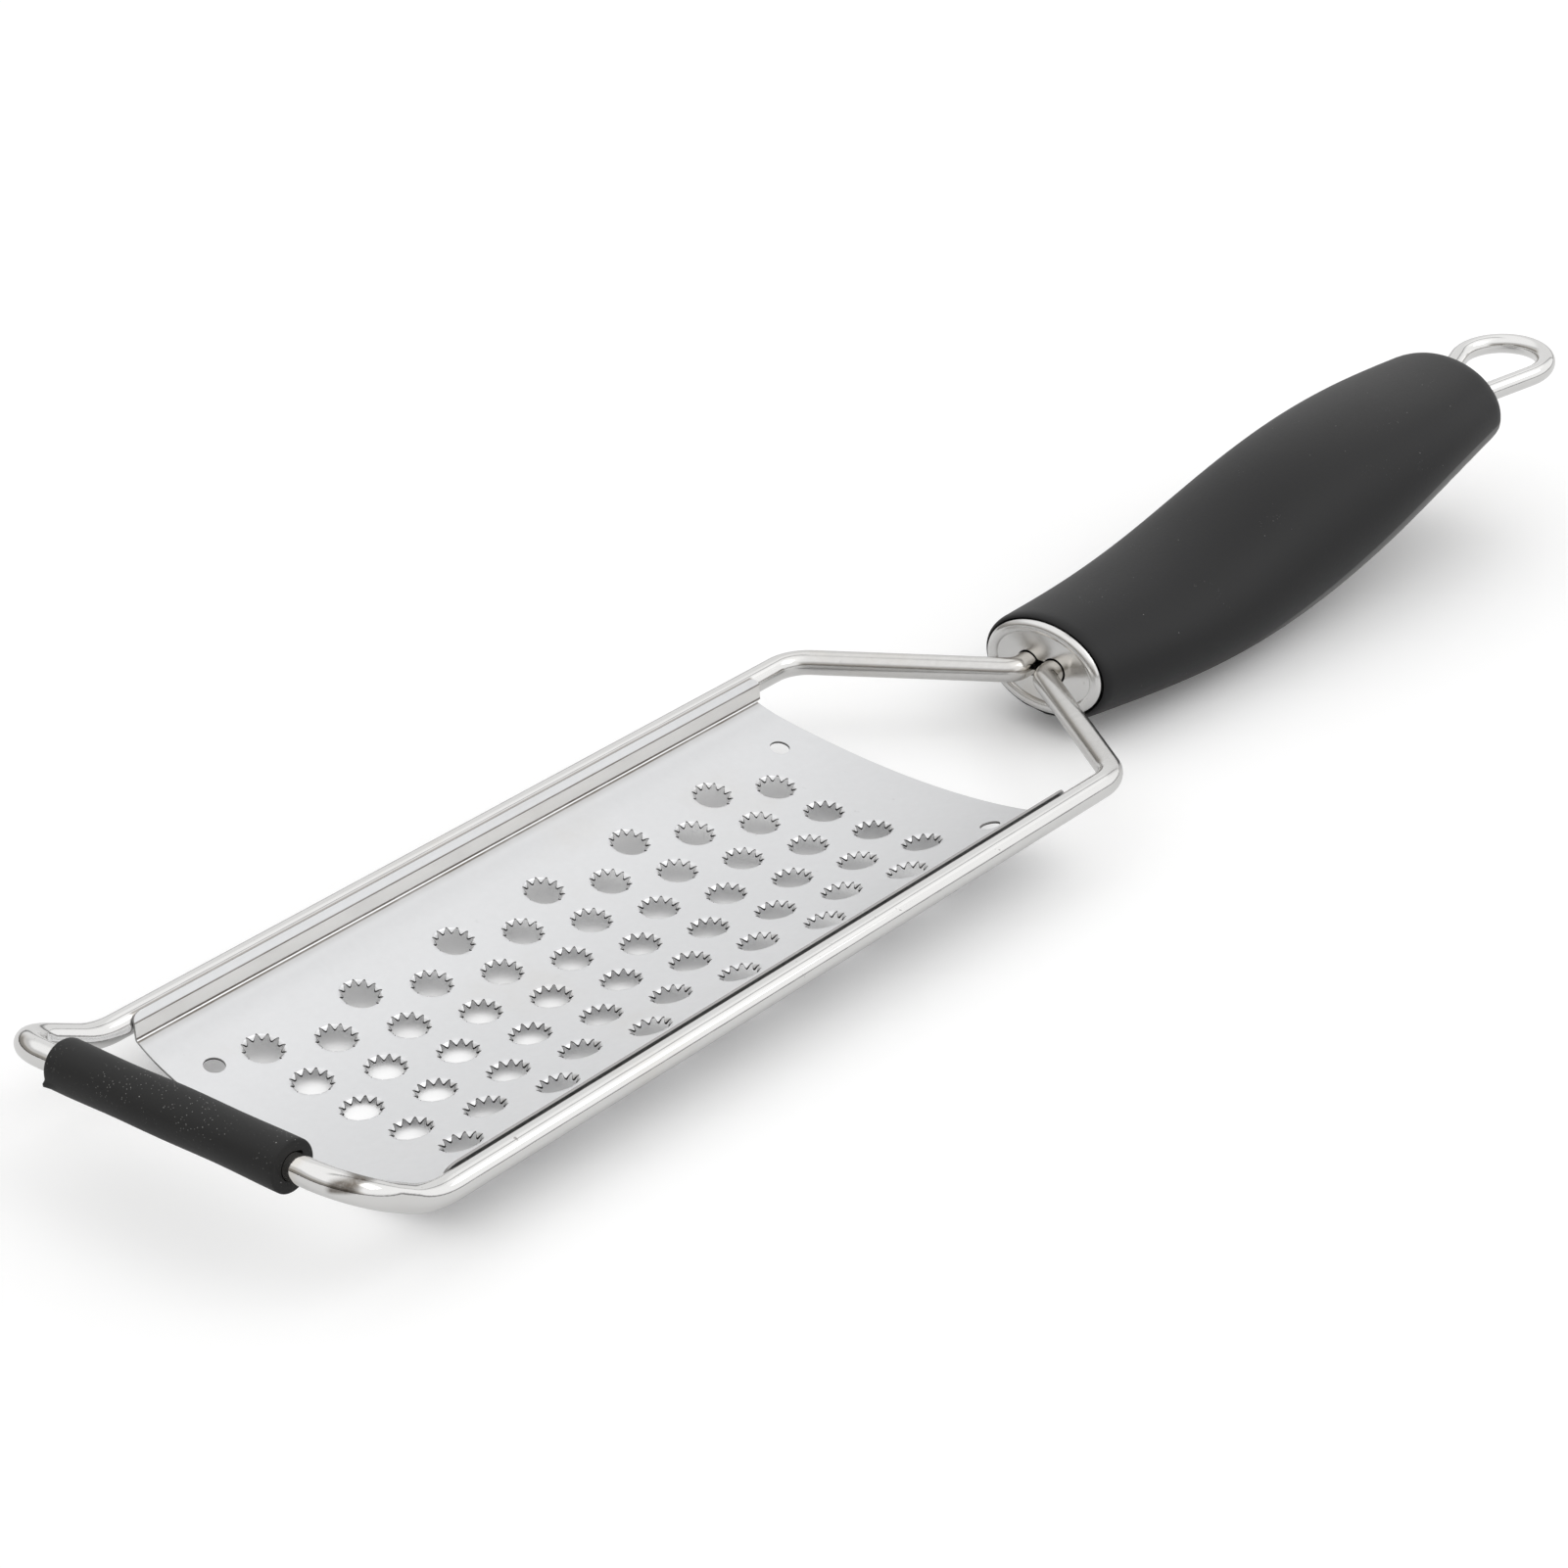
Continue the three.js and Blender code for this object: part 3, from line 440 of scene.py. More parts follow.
def sleeve_mesh(sizes):
    """A rubber tube round the nose bar, a little uneven, with worn edges, a torn mouth and a moulding nub."""
    wire = sizes.wire
    far, near = sizes.nose_corners()
    along = (far - near).normalized()
    centre = (far + near) / 2 + along * wire.sleeve_shift
    upward = (Vector((0, 0, 1)) - along * along.z).normalized()
    ahead = along.cross(upward)
    play = 0.08 * MM
    bore = sizes.wire_radius + play
    outside = wire.sleeve_diameter / 2
    half = wire.sleeve_length / 2
    edge = wire.sleeve_edge

    round_steps, straight_steps, sides = 4, 39, 72
    worn = [(edge * (1 - sine), edge * (1 - cosine)) for sine, cosine in quarter(round_steps)]
    profile = [(bore, -half), (outside - edge, -half)]
    profile += [(outside - inset, -half + back) for inset, back in worn[1:]]
    profile += [(outside, place) for place in spaced(-half + edge, half - edge, straight_steps)[1:-1]]
    profile += [(outside - inset, half - back) for back, inset in worn]
    profile += [(bore, half)]

    # The unevenness turns by so many radians to a metre. The tear lies beside the wire at the -Y end, the nub
    # on the rim of the +Y end, each at a turn from the top and so wide.
    waviness, slow_turn, quick_turn = 0.05 * MM, 160, 310
    tear, tear_turn, tear_width = 0.3 * MM, 0.9, 0.22
    nub, nub_turn, nub_width = 0.45 * MM, 4.3, 0.14

    def bell(turn, at, width):
        return math.exp(-((turn - at) / width) ** 2)

    rings = []
    for radius, place in profile:
        ring = []
        for turn in full_turn(sides):
            grown, bump = radius, 0
            if radius > bore:
                wave = math.sin(3 * turn + place * slow_turn) + math.sin(2 * turn - place * quick_turn)
                grown += waviness * wave
                bump = nub * bell(turn, nub_turn, nub_width) if place > half - 2 * edge else 0
            elif place < 0:
                grown += tear * bell(turn, tear_turn, tear_width)
            out = upward * math.cos(turn) + ahead * math.sin(turn)
            ring.append(centre + along * (place + bump) + out * (grown + bump))
        rings.append(ring)
    return lofted("foot_sleeve", rings, closes_on_itself=True)


class Section:
    """The sheet's section on its upper face, from its middle out: arch, fold, wall, crease and lip."""

    def __init__(self, sizes):
        plate = sizes.plate
        self.plate = plate
        self.wall_y = sizes.rail_y - plate.wrap
        slope = 0.0
        rounds_to_settle = 8
        for _ in range(rounds_to_settle):
            self.arch_half = self.wall_y - plate.fold * (1 - math.sin(slope))
            self.arch_length = plate.arch_radius * math.asin(self.arch_half / plate.arch_radius)
            slope = self.lean_on_arch(self.arch_length)
        self.arch_lean = slope
        y, z = self.on_arch(self.arch_length)
        self.fold_centre = (y - plate.fold * math.sin(slope), z + plate.fold * math.cos(slope))
        self.fold_end = self.arch_length + plate.fold * (math.pi / 2 - slope)
        self.wall_low = self.fold_centre[1]
        self.wall_end = self.fold_end + plate.wall_top - self.wall_low
        self.crease_end = self.wall_end + plate.crease * plate.lip_lean
        self.half = self.crease_end + plate.lip

    def lift(self, s):
        """How far the arch is drawn up beside its fold, and the slope of that."""
        plate = self.plate
        share = max(0, s - self.arch_length + plate.edge_width) / plate.edge_width
        return plate.edge_lift * share ** 2, 2 * plate.edge_lift * share / plate.edge_width

    def on_arch(self, s):
        plate = self.plate
        lean = s / plate.arch_radius
        drop = plate.arch_radius * (1 - math.cos(lean))
        return plate.arch_radius * math.sin(lean), -plate.arch_depth + drop + self.lift(s)[0]

    def lean_on_arch(self, s):
        return s / self.plate.arch_radius + math.atan(self.lift(s)[1])

    def at(self, distance):
        """The place (y, z) at a length along the section, and the lean of the face there."""
        plate = self.plate
        s = abs(distance)
        if s <= self.arch_length:
            (y, z), lean = self.on_arch(s), self.lean_on_arch(s)
        elif s <= self.fold_end:
            lean = self.arch_lean + (s - self.arch_length) / plate.fold
            y = self.fold_centre[0] + plate.fold * math.sin(lean)
            z = self.fold_centre[1] - plate.fold * math.cos(lean)
        elif s <= self.wall_end:
            lean = math.pi / 2
            y, z = self.wall_y, self.wall_low + s - self.fold_end
        else:
            turned = min(s - self.wall_end, self.crease_end - self.wall_end) / plate.crease
            lean = math.pi / 2 - turned
            y = self.wall_y + plate.crease * (1 - math.cos(turned))
            z = plate.wall_top + plate.crease * math.sin(turned)
            straight = max(0, s - self.crease_end)
            y += straight * math.cos(lean)
            z += straight * math.sin(lean)
        return (y if distance >= 0 else -y), z, (lean if distance >= 0 else -lean)


class Blank:
    """The plate's flat blank. A point has a place on it, a depth, and the way to the sheet's other face."""

    # Points in the same ten-thousandth of a millimetre are one point.
    STEPS_PER_METRE = 1e7

    def __init__(self, section, sheet):
        self.section = section
        self.sheet = sheet
        self.numbers = {}
        self.upper = []
        self.lower = []
        self.faces = []
        self.rims = []

    def point(self, x, s, depth=0.0, inward=None, thickness=None):
        """The number of a point. Inward is a tooth's (x, s) lean to its hole, with the cosine of its turn."""
        key = tuple(round(value * self.STEPS_PER_METRE) for value in (x, s, depth))
        if key not in self.numbers:
            self.numbers[key] = len(self.upper)
            thick = thickness or self.sheet
            lean_x, lean_s, upright = inward or (0.0, 0.0, 1.0)
            self.upper.append(self.rolled(x, s, depth))
            self.lower.append(self.rolled(x - lean_x * thick, s - lean_s * thick, depth + upright * thick))
        return self.numbers[key]

    def rolled(self, x, s, depth):
        y, z, lean = self.section.at(s)
        return Vector((x, y + math.sin(lean) * depth, z - math.cos(lean) * depth))

    def face(self, *points, rim=False):
        kept = [point for index, point in enumerate(points) if point != points[index - 1]]
        if len(kept) > 2:
            (self.rims if rim else self.faces).append(tuple(kept))

    def grid(self, xs, ss):
        """Patches between cross lines and long lines. An x may be a function of s."""
        rows = [[self.point(x(s) if callable(x) else x, s) for s in ss] for x in xs]
        for first, second in zip(rows, rows[1:]):
            for column in range(len(ss) - 1):
                self.face(first[column], second[column], second[column + 1], first[column + 1])

    def rings(self, rows, rim=False):
        """Patches between closed rows of points, from the outermost in. A rim is finished like a cut edge."""
        for first, second in zip(rows, rows[1:]):
            for here in range(len(first)):
                after = (here + 1) % len(first)
                self.face(first[here], first[after], second[after], second[here], rim=rim)

    def skin(self):
        """Both faces and the cut edges between them."""
        skin = Skin()
        top = skin.row(self.upper)
        under = skin.row(self.lower)
        edges = {}
        skin.cut_from = 2 * len(self.faces)
        for face in self.faces + self.rims:
            skin.faces.append(tuple(top[point] for point in face))
            skin.faces.append(tuple(under[point] for point in reversed(face)))
            for start, end in zip(face, face[1:] + face[:1]):
                edges[(start, end)] = edges.get((start, end), 0) + 1
        for start, end in edges:
            if (end, start) not in edges:
                skin.faces.append((top[end], top[start], under[start], under[end]))
        return skin


class PlateLayout:
    """Where the plate's holes, margins and edges lie on the blank."""

    def __init__(self, sizes):
        plate = sizes.plate
        self.plate = plate
        self.section = Section(sizes)
        self.blank = Blank(self.section, plate.sheet)
        self.front = sizes.plate_front
        self.rear = sizes.plate_rear
        usable = self.rear - plate.rear_relief - self.front
        self.first_line = self.front + (usable - plate.rows * plate.row_pitch) / 2
        self.last_line = self.first_line + plate.rows * plate.row_pitch
        self.strip = plate.hole_spacing / 2
        self.half_punched = plate.holes * self.strip

    def bow(self, s):
        return max(0, 1 - (s / self.section.arch_length) ** 2)

    def ease(self, s):
        past = max(0, abs(s) - self.section.wall_end) / (self.section.half - self.section.wall_end)
        return self.plate.lip_corner * (1 - math.sqrt(max(0, 1 - past ** 2)))

    def front_edge(self, s):
        return self.front - self.plate.front_bow * self.bow(s) + self.ease(s)

    def rear_edge(self, s):
        past = (abs(s) - self.section.arch_length) / (self.section.fold_end - self.section.arch_length)
        relief = self.plate.rear_relief * (1 - min(1, max(0, past)))
        return self.rear - relief + self.plate.rear_bow * self.bow(s) - self.ease(s)

    def punched_lines(self, start, strips):
        """Long lines of the punched field, from a strip's edge on."""
        return spaced(start, start + self.strip * strips, strips * CELL_SIDE_STEPS // 2)

    def cross_lines(self, row):
        start = self.first_line + row * self.plate.row_pitch
        return spaced(start, start + self.plate.row_pitch, CELL_SIDE_STEPS)

    def side_lines(self):
        """Long lines from the punched field out to the lip's edge, so many to each span."""
        section = self.section
        spans = [
            (self.half_punched, section.arch_length, 9),
            (section.arch_length, section.fold_end, 2),
            (section.fold_end, section.wall_end, 4),
            (section.wall_end, section.crease_end, 6),
            (section.crease_end, section.half, 6),
        ]
        lines = [self.half_punched]
        for start, end, steps in spans:
            lines += spaced(start, end, steps)[1:]
        return lines

    def margin(self, share, edge, line):
        """A cross line part of the way from the plate's edge to the punched field."""
        return lambda s: edge(s) + (line - edge(s)) * share


def square_outline(x0, x1, s0, s1, steps):
    """Places round a rectangle on the blank, evenly spaced on each side, from its (x1, s0) corner on."""
    places = [(x1, s) for s in spaced(s0, s1, steps)[:-1]]
    places += [(x, s1) for x in spaced(x1, x0, steps)[:-1]]
    places += [(x0, s) for s in spaced(s1, s0, steps)[:-1]]
    places += [(x, s0) for x in spaced(x0, x1, steps)[:-1]]
    return places


def punch_hole(layout, row, middle):
    """One hole in its cell, with its crown of teeth: a collar with a waved edge, rolled down."""
    plate = layout.plate
    blank = layout.blank
    x0 = layout.first_line + row * plate.row_pitch
    centre_x = x0 + plate.row_pitch / 2
    s0, s1 = middle - layout.strip, middle + layout.strip
    outline = square_outline(x0, x0 + plate.row_pitch, s0, s1, CELL_SIDE_STEPS)
    around = len(outline) * RING_STEPS
    first_turn = -math.pi / 4
    step_turn = 2 * math.pi / around
    tooth_steps = around // plate.teeth
    pitch = 2 * math.pi / plate.teeth
    # The crown's notches fall on points of the ring, so the ring is turned with the crown.
    offset = (plate.crown_turn - pitch / 2 - first_turn) % pitch
    offset -= round(offset / step_turn) * step_turn
    turns = [first_turn + offset + step * step_turn for step in range(around)]
    first_notch = round((((plate.crown_turn - pitch / 2) - turns[0]) % pitch) / step_turn)

    def circle(radius):
        return [blank.point(centre_x + radius * math.cos(t), middle + radius * math.sin(t)) for t in turns]

    outer = [blank.point(x, s) for x, s in outline]
    flat = circle(plate.notch_circle + HOLE_MARGIN)
    for side in range(len(outer)):
        inner = [flat[(side * RING_STEPS + step) % around] for step in range(RING_STEPS, -1, -1)]
        blank.face(outer[side], outer[(side + 1) % len(outer)], *inner)

    bend = plate.tooth_bend
    bend_length = bend * plate.tooth_turn

    def collar_point(step, share):
        """A point of the collar, part of the way from its root to its waved edge."""
        turn = turns[step]
        wave = (1 - math.cos(2 * math.pi * (step - first_notch) / tooth_steps)) / 2
        gone = plate.tooth_length * wave ** plate.tooth_round * share
        turned = min(gone, bend_length) / bend
        straight = max(0, gone - bend_length)
        radius = plate.notch_circle - bend * math.sin(turned) - straight * math.cos(turned)
        depth = bend * (1 - math.cos(turned)) + straight * math.sin(turned)
        lean = (-math.cos(turn) * math.sin(turned), -math.sin(turn) * math.sin(turned), math.cos(turned))
        place = (centre_x + radius * math.cos(turn), middle + radius * math.sin(turn))
        return blank.point(*place, depth, lean, plate.tooth_edge)

    shares = spaced(0, 1, TOOTH_STEPS)
    collar = [[collar_point(step, share) for step in range(around)] for share in shares]
    blank.rings([flat] + collar[:-1])
    blank.rings(collar[-2:], rim=True)


def punch_corner(layout, edge, line, side, at_front):
    """A small plain hole beside a corner, in a patch between the plate's edge and the punched field."""
    plate = layout.plate
    blank = layout.blank
    steps = CELL_SIDE_STEPS // 2
    spacing = layout.strip / steps
    half_steps = 4
    centre_line = round(plate.corner_offset / spacing) * spacing
    s0 = side * centre_line - half_steps * spacing
    centre_s = side * plate.corner_offset
    end = layout.front if at_front else layout.rear - plate.rear_relief
    centre_x = end + (plate.front_inset if at_front else -plate.rear_inset)
    columns = [s0 + spacing * step for step in range(2 * half_steps + 1)]
    shares = spaced(0, 1, MARGIN_STEPS)

    def place(share, s):
        return layout.margin(share, edge, line)(s), s

    outline = [place(1, s) for s in columns[:-1]]
    outline += [place(share, columns[-1]) for share in reversed(shares[1:])]
    outline += [place(0, s) for s in reversed(columns[1:])]
    outline += [place(share, columns[0]) for share in shares[:-1]]
    if not at_front:
        outline = [outline[0]] + outline[:0:-1]
    outer = [blank.point(x, s) for x, s in outline]
    turns = [math.atan2(s - centre_s, x - centre_x) for x, s in outline]
    rows = [outer]
    for radius in (plate.corner_hole / 2 + HOLE_MARGIN, plate.corner_hole / 2):
        places = [(centre_x + radius * math.cos(t), centre_s + radius * math.sin(t)) for t in turns]
        rows.append([blank.point(x, s) for x, s in places])
    blank.rings(rows)
    return columns[0], columns[-1]


def grater_plate_mesh(sizes):
    """The arched plate: a blank on a grid, punched, folded and rolled."""
    layout = PlateLayout(sizes)
    plate = layout.plate
    blank = layout.blank
    for row in range(plate.rows):
        full = row % 2 == 0
        holes = plate.holes if full else plate.holes - 1
        for hole in range(holes):
            punch_hole(layout, row, (2 * hole - holes + 1) * layout.strip)
        if not full:
            xs = layout.cross_lines(row)
            blank.grid(xs, layout.punched_lines(-layout.half_punched, 1))
            blank.grid(xs, layout.punched_lines(layout.half_punched - layout.strip, 1))

    sides = layout.side_lines()
    both_sides = ([-s for s in reversed(sides)], sides)
    for row in range(plate.rows):
        for lines in both_sides:
            blank.grid(layout.cross_lines(row), lines)

    middle = layout.punched_lines(-layout.half_punched, 2 * plate.holes)
    nearly = 1e-6
    ends = ((layout.front_edge, layout.first_line, True), (layout.rear_edge, layout.last_line, False))
    for edge, line, at_front in ends:
        shares = spaced(0, 1, MARGIN_STEPS)
        xs = [layout.margin(share, edge, line) for share in (shares if at_front else reversed(shares))]
        for lines in both_sides:
            blank.grid(xs, lines)
        start = -layout.half_punched
        for side in (1,) if at_front else (-1, 1):
            patch_start, patch_end = punch_corner(layout, edge, line, side, at_front)
            blank.grid(xs, [s for s in middle if start - nearly <= s <= patch_start + nearly])
            start = patch_end
        blank.grid(xs, [s for s in middle if s >= start - nearly])
    return blank.skin().mesh("grater_plate")


def oval(half_width, half_height, turns):
    """Points (y, z) of an oval."""
    return [(half_width * math.cos(t), half_height * math.sin(t)) for t in turns]


def bead_profile(handle, bead):
    """The bead from the sunk face out to the skirt, as (depth behind the crest, inset from the rim)."""
    steps = 7
    crest, inner_run = bead * 0.5, bead * 0.42
    profile = [(handle.recess * (1 - sine), crest + inner_run * cosine) for sine, cosine in quarter(steps)]
    profile += [(crest * (1 - cosine), crest * (1 - sine)) for sine, cosine in quarter(steps)[1:]]
    return profile + [(handle.cap_depth / 2, 0.0), (handle.cap_depth, 0.0)]


def slot_radius(sizes, turn):
    """The slot round the two tangs, by the distance from its middle: two circles and a straight waist."""
    reach = sizes.wire_radius + sizes.handle.slot_play
    widest = min(1.0, reach / sizes.tang_y)
    rise = abs(math.sin(turn))
    if rise < widest:
        across = sizes.tang_y * rise
        return sizes.tang_y * abs(math.cos(turn)) + math.sqrt(reach ** 2 - across ** 2)
    waist = sizes.tang_y * widest * math.sqrt(1 - widest ** 2)
    return waist / rise


def to_oval(offset, half_width, half_height, turn):
    """How far it is from a place on an oval's long axis to the oval, in a given direction."""
    p = offset / half_width
    dy, dz = math.cos(turn) / half_width, math.sin(turn) / half_height
    a = dy * dy + dz * dz
    b = p * dy
    return (math.sqrt(b * b + a * (1 - p * p)) - b) / a


def cap_rings(width, height, offset, turns, profile):
    """The bead and skirt of a cap, as rings seen from a place on its long axis."""
    rings = []
    for depth, inset in profile:
        reaches = [to_oval(offset, width / 2 - inset, height / 2 - inset, t) for t in turns]
        rings.append([(depth, offset + r * math.cos(t), r * math.sin(t)) for r, t in zip(reaches, turns)])
    return rings


def ferrule_mesh(sizes):
    """The front cap: a beaded oval cup with a flat face and a slot for the tangs."""
    handle = sizes.handle
    offset = sizes.wire.tang_shift
    turns = full_turn(FACE_TURNS)
    profile = bead_profile(handle, handle.bead)
    face_depth, face_inset = profile[0]
    half_width, half_height = handle.ferrule_width / 2 - face_inset, handle.ferrule_height / 2 - face_inset
    rows = []
    for share in spaced(0, 1, FACE_STEPS):
        ring = []
        for t in turns:
            inner = slot_radius(sizes, t)
            radius = inner + (to_oval(offset, half_width, half_height, t) - inner) * share
            ring.append((face_depth, offset + radius * math.cos(t), radius * math.sin(t)))
        rows.append(ring)
    rows += cap_rings(handle.ferrule_width, handle.ferrule_height, offset, turns, profile[1:])
    return cup_mesh(sizes, "front_ferrule", rows, Vector((sizes.ferrule_x, 0, sizes.ferrule_z)), 1)


def cup_mesh(sizes, name, front, at, facing):
    """A thin cup from its outer rows: the inner rows lie a sheet's thickness behind and inside them."""
    sheet = sizes.handle.cap_sheet
    last = len(front) - 1
    back = []
    for index, ring in enumerate(front):
        row = []
        before = front[max(0, index - 1)]
        after = front[min(last, index + 1)]
        for side, (x, y, z) in enumerate(ring):
            dx = after[side][0] - before[side][0]
            dr = math.hypot(*after[side][1:]) - math.hypot(*before[side][1:])
            size = math.hypot(dx, dr) or 1
            radius = math.hypot(y, z)
            shrunk = (radius - sheet * dx / size) / radius
            row.append((x + sheet * dr / size, y * shrunk, z * shrunk))
        back.append(row)
    rows = front + back[::-1]
    rings = [[at + Vector((facing * x, facing * y, z)) for x, y, z in row] for row in rows]
    return lofted(name, rings, closes_on_itself=True)


def rear_cap_mesh(sizes):
    """The rear cap: a beaded oval cup, before the holes for the loop's legs are drilled."""
    handle = sizes.handle
    profile = bead_profile(handle, handle.rear_bead)
    face_depth, face_inset = profile[0]
    middle_dimple = 0.35 * MM
    face_steps = 9
    insets = spaced(handle.rear_height / 2 - middle_dimple, face_inset, face_steps)[:-1]
    face = [(face_depth, inset) for inset in insets]
    rows = cap_rings(handle.rear_width, handle.rear_height, 0, full_turn(OVAL_SIDES), face + profile)
    return cup_mesh(sizes, "rear_cap", rows, Vector((sizes.rear_x, 0, sizes.rear_z)), -1)


def drill_legs(piece, sizes):
    """Cuts a round hole for each leg of the loop through the rear cap."""
    handle = sizes.handle
    along = Vector((1, 0, 0))
    for side in (-1, 1):
        at = Vector((sizes.rear_x, side * handle.leg_spacing / 2, sizes.rear_z))
        stations = [(at + along * end * handle.cap_depth, along) for end in (-1, 1)]
        mesh = lofted("drill", wire_rings(stations, handle.loop_wire / 2 + handle.grip_play))
        mesh.transform(sizes.resting())
        drill = add_object("drill", mesh)
        cut = piece.modifiers.new("leg hole", "BOOLEAN")
        cut.operation = "DIFFERENCE"
        cut.solver = "EXACT"
        cut.object = drill
        bpy.context.view_layer.update()
        graph = bpy.context.evaluated_depsgraph_get()
        made = bpy.data.meshes.new_from_object(piece.evaluated_get(graph))
        piece.modifiers.remove(cut)
        piece.data = made
        bpy.data.objects.remove(drill)


class GripForm:
    """The grip's outer form: an oval that swells along a smooth curve through a few stations."""

    def __init__(self, sizes):
        handle = sizes.handle
        self.sizes = sizes
        # Place along the grip, half width, and top and bottom over the ferrule's middle, in millimetres.
        swell = [
            (0.197, 14.9, 8.2, -11.3),
            (0.336, 15.9, 9.9, -12.5),
            (0.515, 16.25, 14.2, -12.2),
            (0.689, 16.35, 16.5, -8.5),
            (0.864, 15.0, 16.6, -3.6),
        ]
        front = handle.ferrule_height / 2 + handle.front_lip
        rear = handle.rear_height / 2 + handle.rear_lip
        stations = [(0, handle.ferrule_width / 2 + handle.front_lip, front, -front)]
        stations += [(at, width * MM, top * MM, bottom * MM) for at, width, top, bottom in swell]
        stations += [(1, handle.rear_width / 2 + handle.rear_lip, handle.rise + rear, handle.rise - rear)]
        table = np.array(stations)
        self.places = table[:, 0]
        self.values = table[:, 1:]
        self.bends = self.spline_bends()

    def spline_bends(self):
        """Second derivatives of a natural cubic spline through the stations."""
        steps = np.diff(self.places)
        slopes = np.diff(self.values, axis=0) / steps[:, None]
        size = len(self.places)
        system = np.eye(size)
        right = np.zeros_like(self.values)
        for row in range(1, size - 1):
            system[row, row - 1:row + 2] = steps[row - 1], 2 * (steps[row - 1] + steps[row]), steps[row]
            right[row] = 6 * (slopes[row] - slopes[row - 1])
        return np.linalg.solve(system, right)

    def at(self, place):
        """Half width, top and bottom at a place along the grip."""
        span = int(np.clip(np.searchsorted(self.places, place) - 1, 0, len(self.places) - 2))
        step = self.places[span + 1] - self.places[span]
        right = (place - self.places[span]) / step
        left = 1 - right
        bend = (left ** 3 - left) * self.bends[span] + (right ** 3 - right) * self.bends[span + 1]
        return left * self.values[span] + right * self.values[span + 1] + bend * step ** 2 / 6

    def ring(self, x, inset, creased):
        """An oval ring square to X. Low on both sides a crease runs down from the rear end to the belly."""
        sizes = self.sizes
        place = (x - sizes.ferrule_x) / sizes.handle.grip_length
        half_width, top, bottom = self.at(place)
        middle = sizes.ferrule_z + (top + bottom) / 2
        rear_crease, crease_drop, crease_run = math.radians(8), math.radians(62), 0.62
        crease = rear_crease + crease_drop * min(1, max(0, (1 - place) / crease_run))
        points = []
        for t in full_turn(OVAL_SIDES):
            below = math.asin(max(-1, min(1, -math.sin(t))))
            shrink = 1.0
            if creased and below > crease:
                share = (math.pi / 2 - below) / (math.pi / 2 - crease)
                shrink -= sizes.handle.crease_slope * (below - crease) * share
            y = (half_width - inset) * math.cos(t) * shrink
            z = ((top - bottom) / 2 - inset) * math.sin(t) * shrink
            points.append((x, y, middle + z))
        return points


def grip_mesh(sizes):
    """A rubber sleeve: rounded lips round both caps, a mouth for each skirt, and a bore for the core."""
    handle = sizes.handle
    form = GripForm(sizes)
    front_x = sizes.ferrule_x + handle.bead / 2
    rear_x = sizes.rear_x - handle.rear_bead / 2
    front_skirt = sizes.ferrule_x + handle.cap_depth + handle.grip_play
    rear_skirt = sizes.rear_x - handle.cap_depth - handle.grip_play
    outer_steps, inner_steps, round_steps = 119, 15, 6
    mouth_edge = 0.3 * MM

    def mouth(x, z, width, height):
        points = oval(width / 2 + handle.grip_play, height / 2 + handle.grip_play, full_turn(OVAL_SIDES))
        return [(x, y, z + up) for y, up in points]

    def front_mouth(x):
        return mouth(x, sizes.ferrule_z, handle.ferrule_width, handle.ferrule_height)

    def rear_mouth(x):
        return mouth(x, sizes.rear_z, handle.rear_width, handle.rear_height)

    def rounded(x, run, lip):
        """Rings of a rounded end, from its face to where the full form starts."""
        drop = lip - handle.grip_play
        turns = quarter(round_steps)[:-1]
        return [form.ring(x + run * (1 - cosine), drop * (1 - sine), True) for sine, cosine in turns]

    outside = spaced(front_x + handle.front_round, rear_x - handle.rear_round, outer_steps)
    inside = spaced(rear_skirt, front_skirt, inner_steps)
    rings = [front_mouth(front_x + mouth_edge)]
    rings += rounded(front_x, handle.front_round, handle.front_lip)
    rings += [form.ring(x, 0, True) for x in outside]
    rings += rounded(rear_x, -handle.rear_round, handle.rear_lip)[::-1]
    rings += [rear_mouth(rear_x - mouth_edge), rear_mouth(rear_skirt)]
    rings += [form.ring(x, handle.grip_wall, False) for x in inside]
    rings += [front_mouth(front_skirt)]
    return lofted("grip", rings, closes_on_itself=True)


def hang_loop_mesh(sizes):
    """A wire with two legs in the handle that spread behind the cap and run round the eye."""
    handle = sizes.handle
    leg_y = handle.leg_spacing / 2
    reach = handle.loop_reach
    eye = handle.eye_radius
    spread = math.asin(eye / math.hypot(reach, leg_y)) - math.atan2(leg_y, reach)
    # The eye's arc is three corners of its own radius that join end to end.
    corner_turn = (math.pi + 2 * spread) / 3
    corner_reach = eye / math.cos(corner_turn / 2)

    def eye_corner(turn):
        return Vector((reach + corner_reach * math.cos(turn), corner_reach * math.sin(turn), 0)), eye

    legs = with_mirror([
        (Vector((-handle.leg_depth, leg_y, 0)), 0),
        (Vector((0, leg_y, 0)), handle.leg_bend),
        eye_corner(corner_turn),
    ])
    legs.insert(len(legs) // 2, eye_corner(0))
    mesh = lofted("hang_loop", wire_rings(bent_line(legs), handle.loop_wire / 2))
    tilt = Matrix.Rotation(-handle.loop_tilt, 4, "Y")
    mesh.transform(Matrix.Translation((sizes.rear_x, 0, sizes.rear_z)) @ tilt)
    return mesh


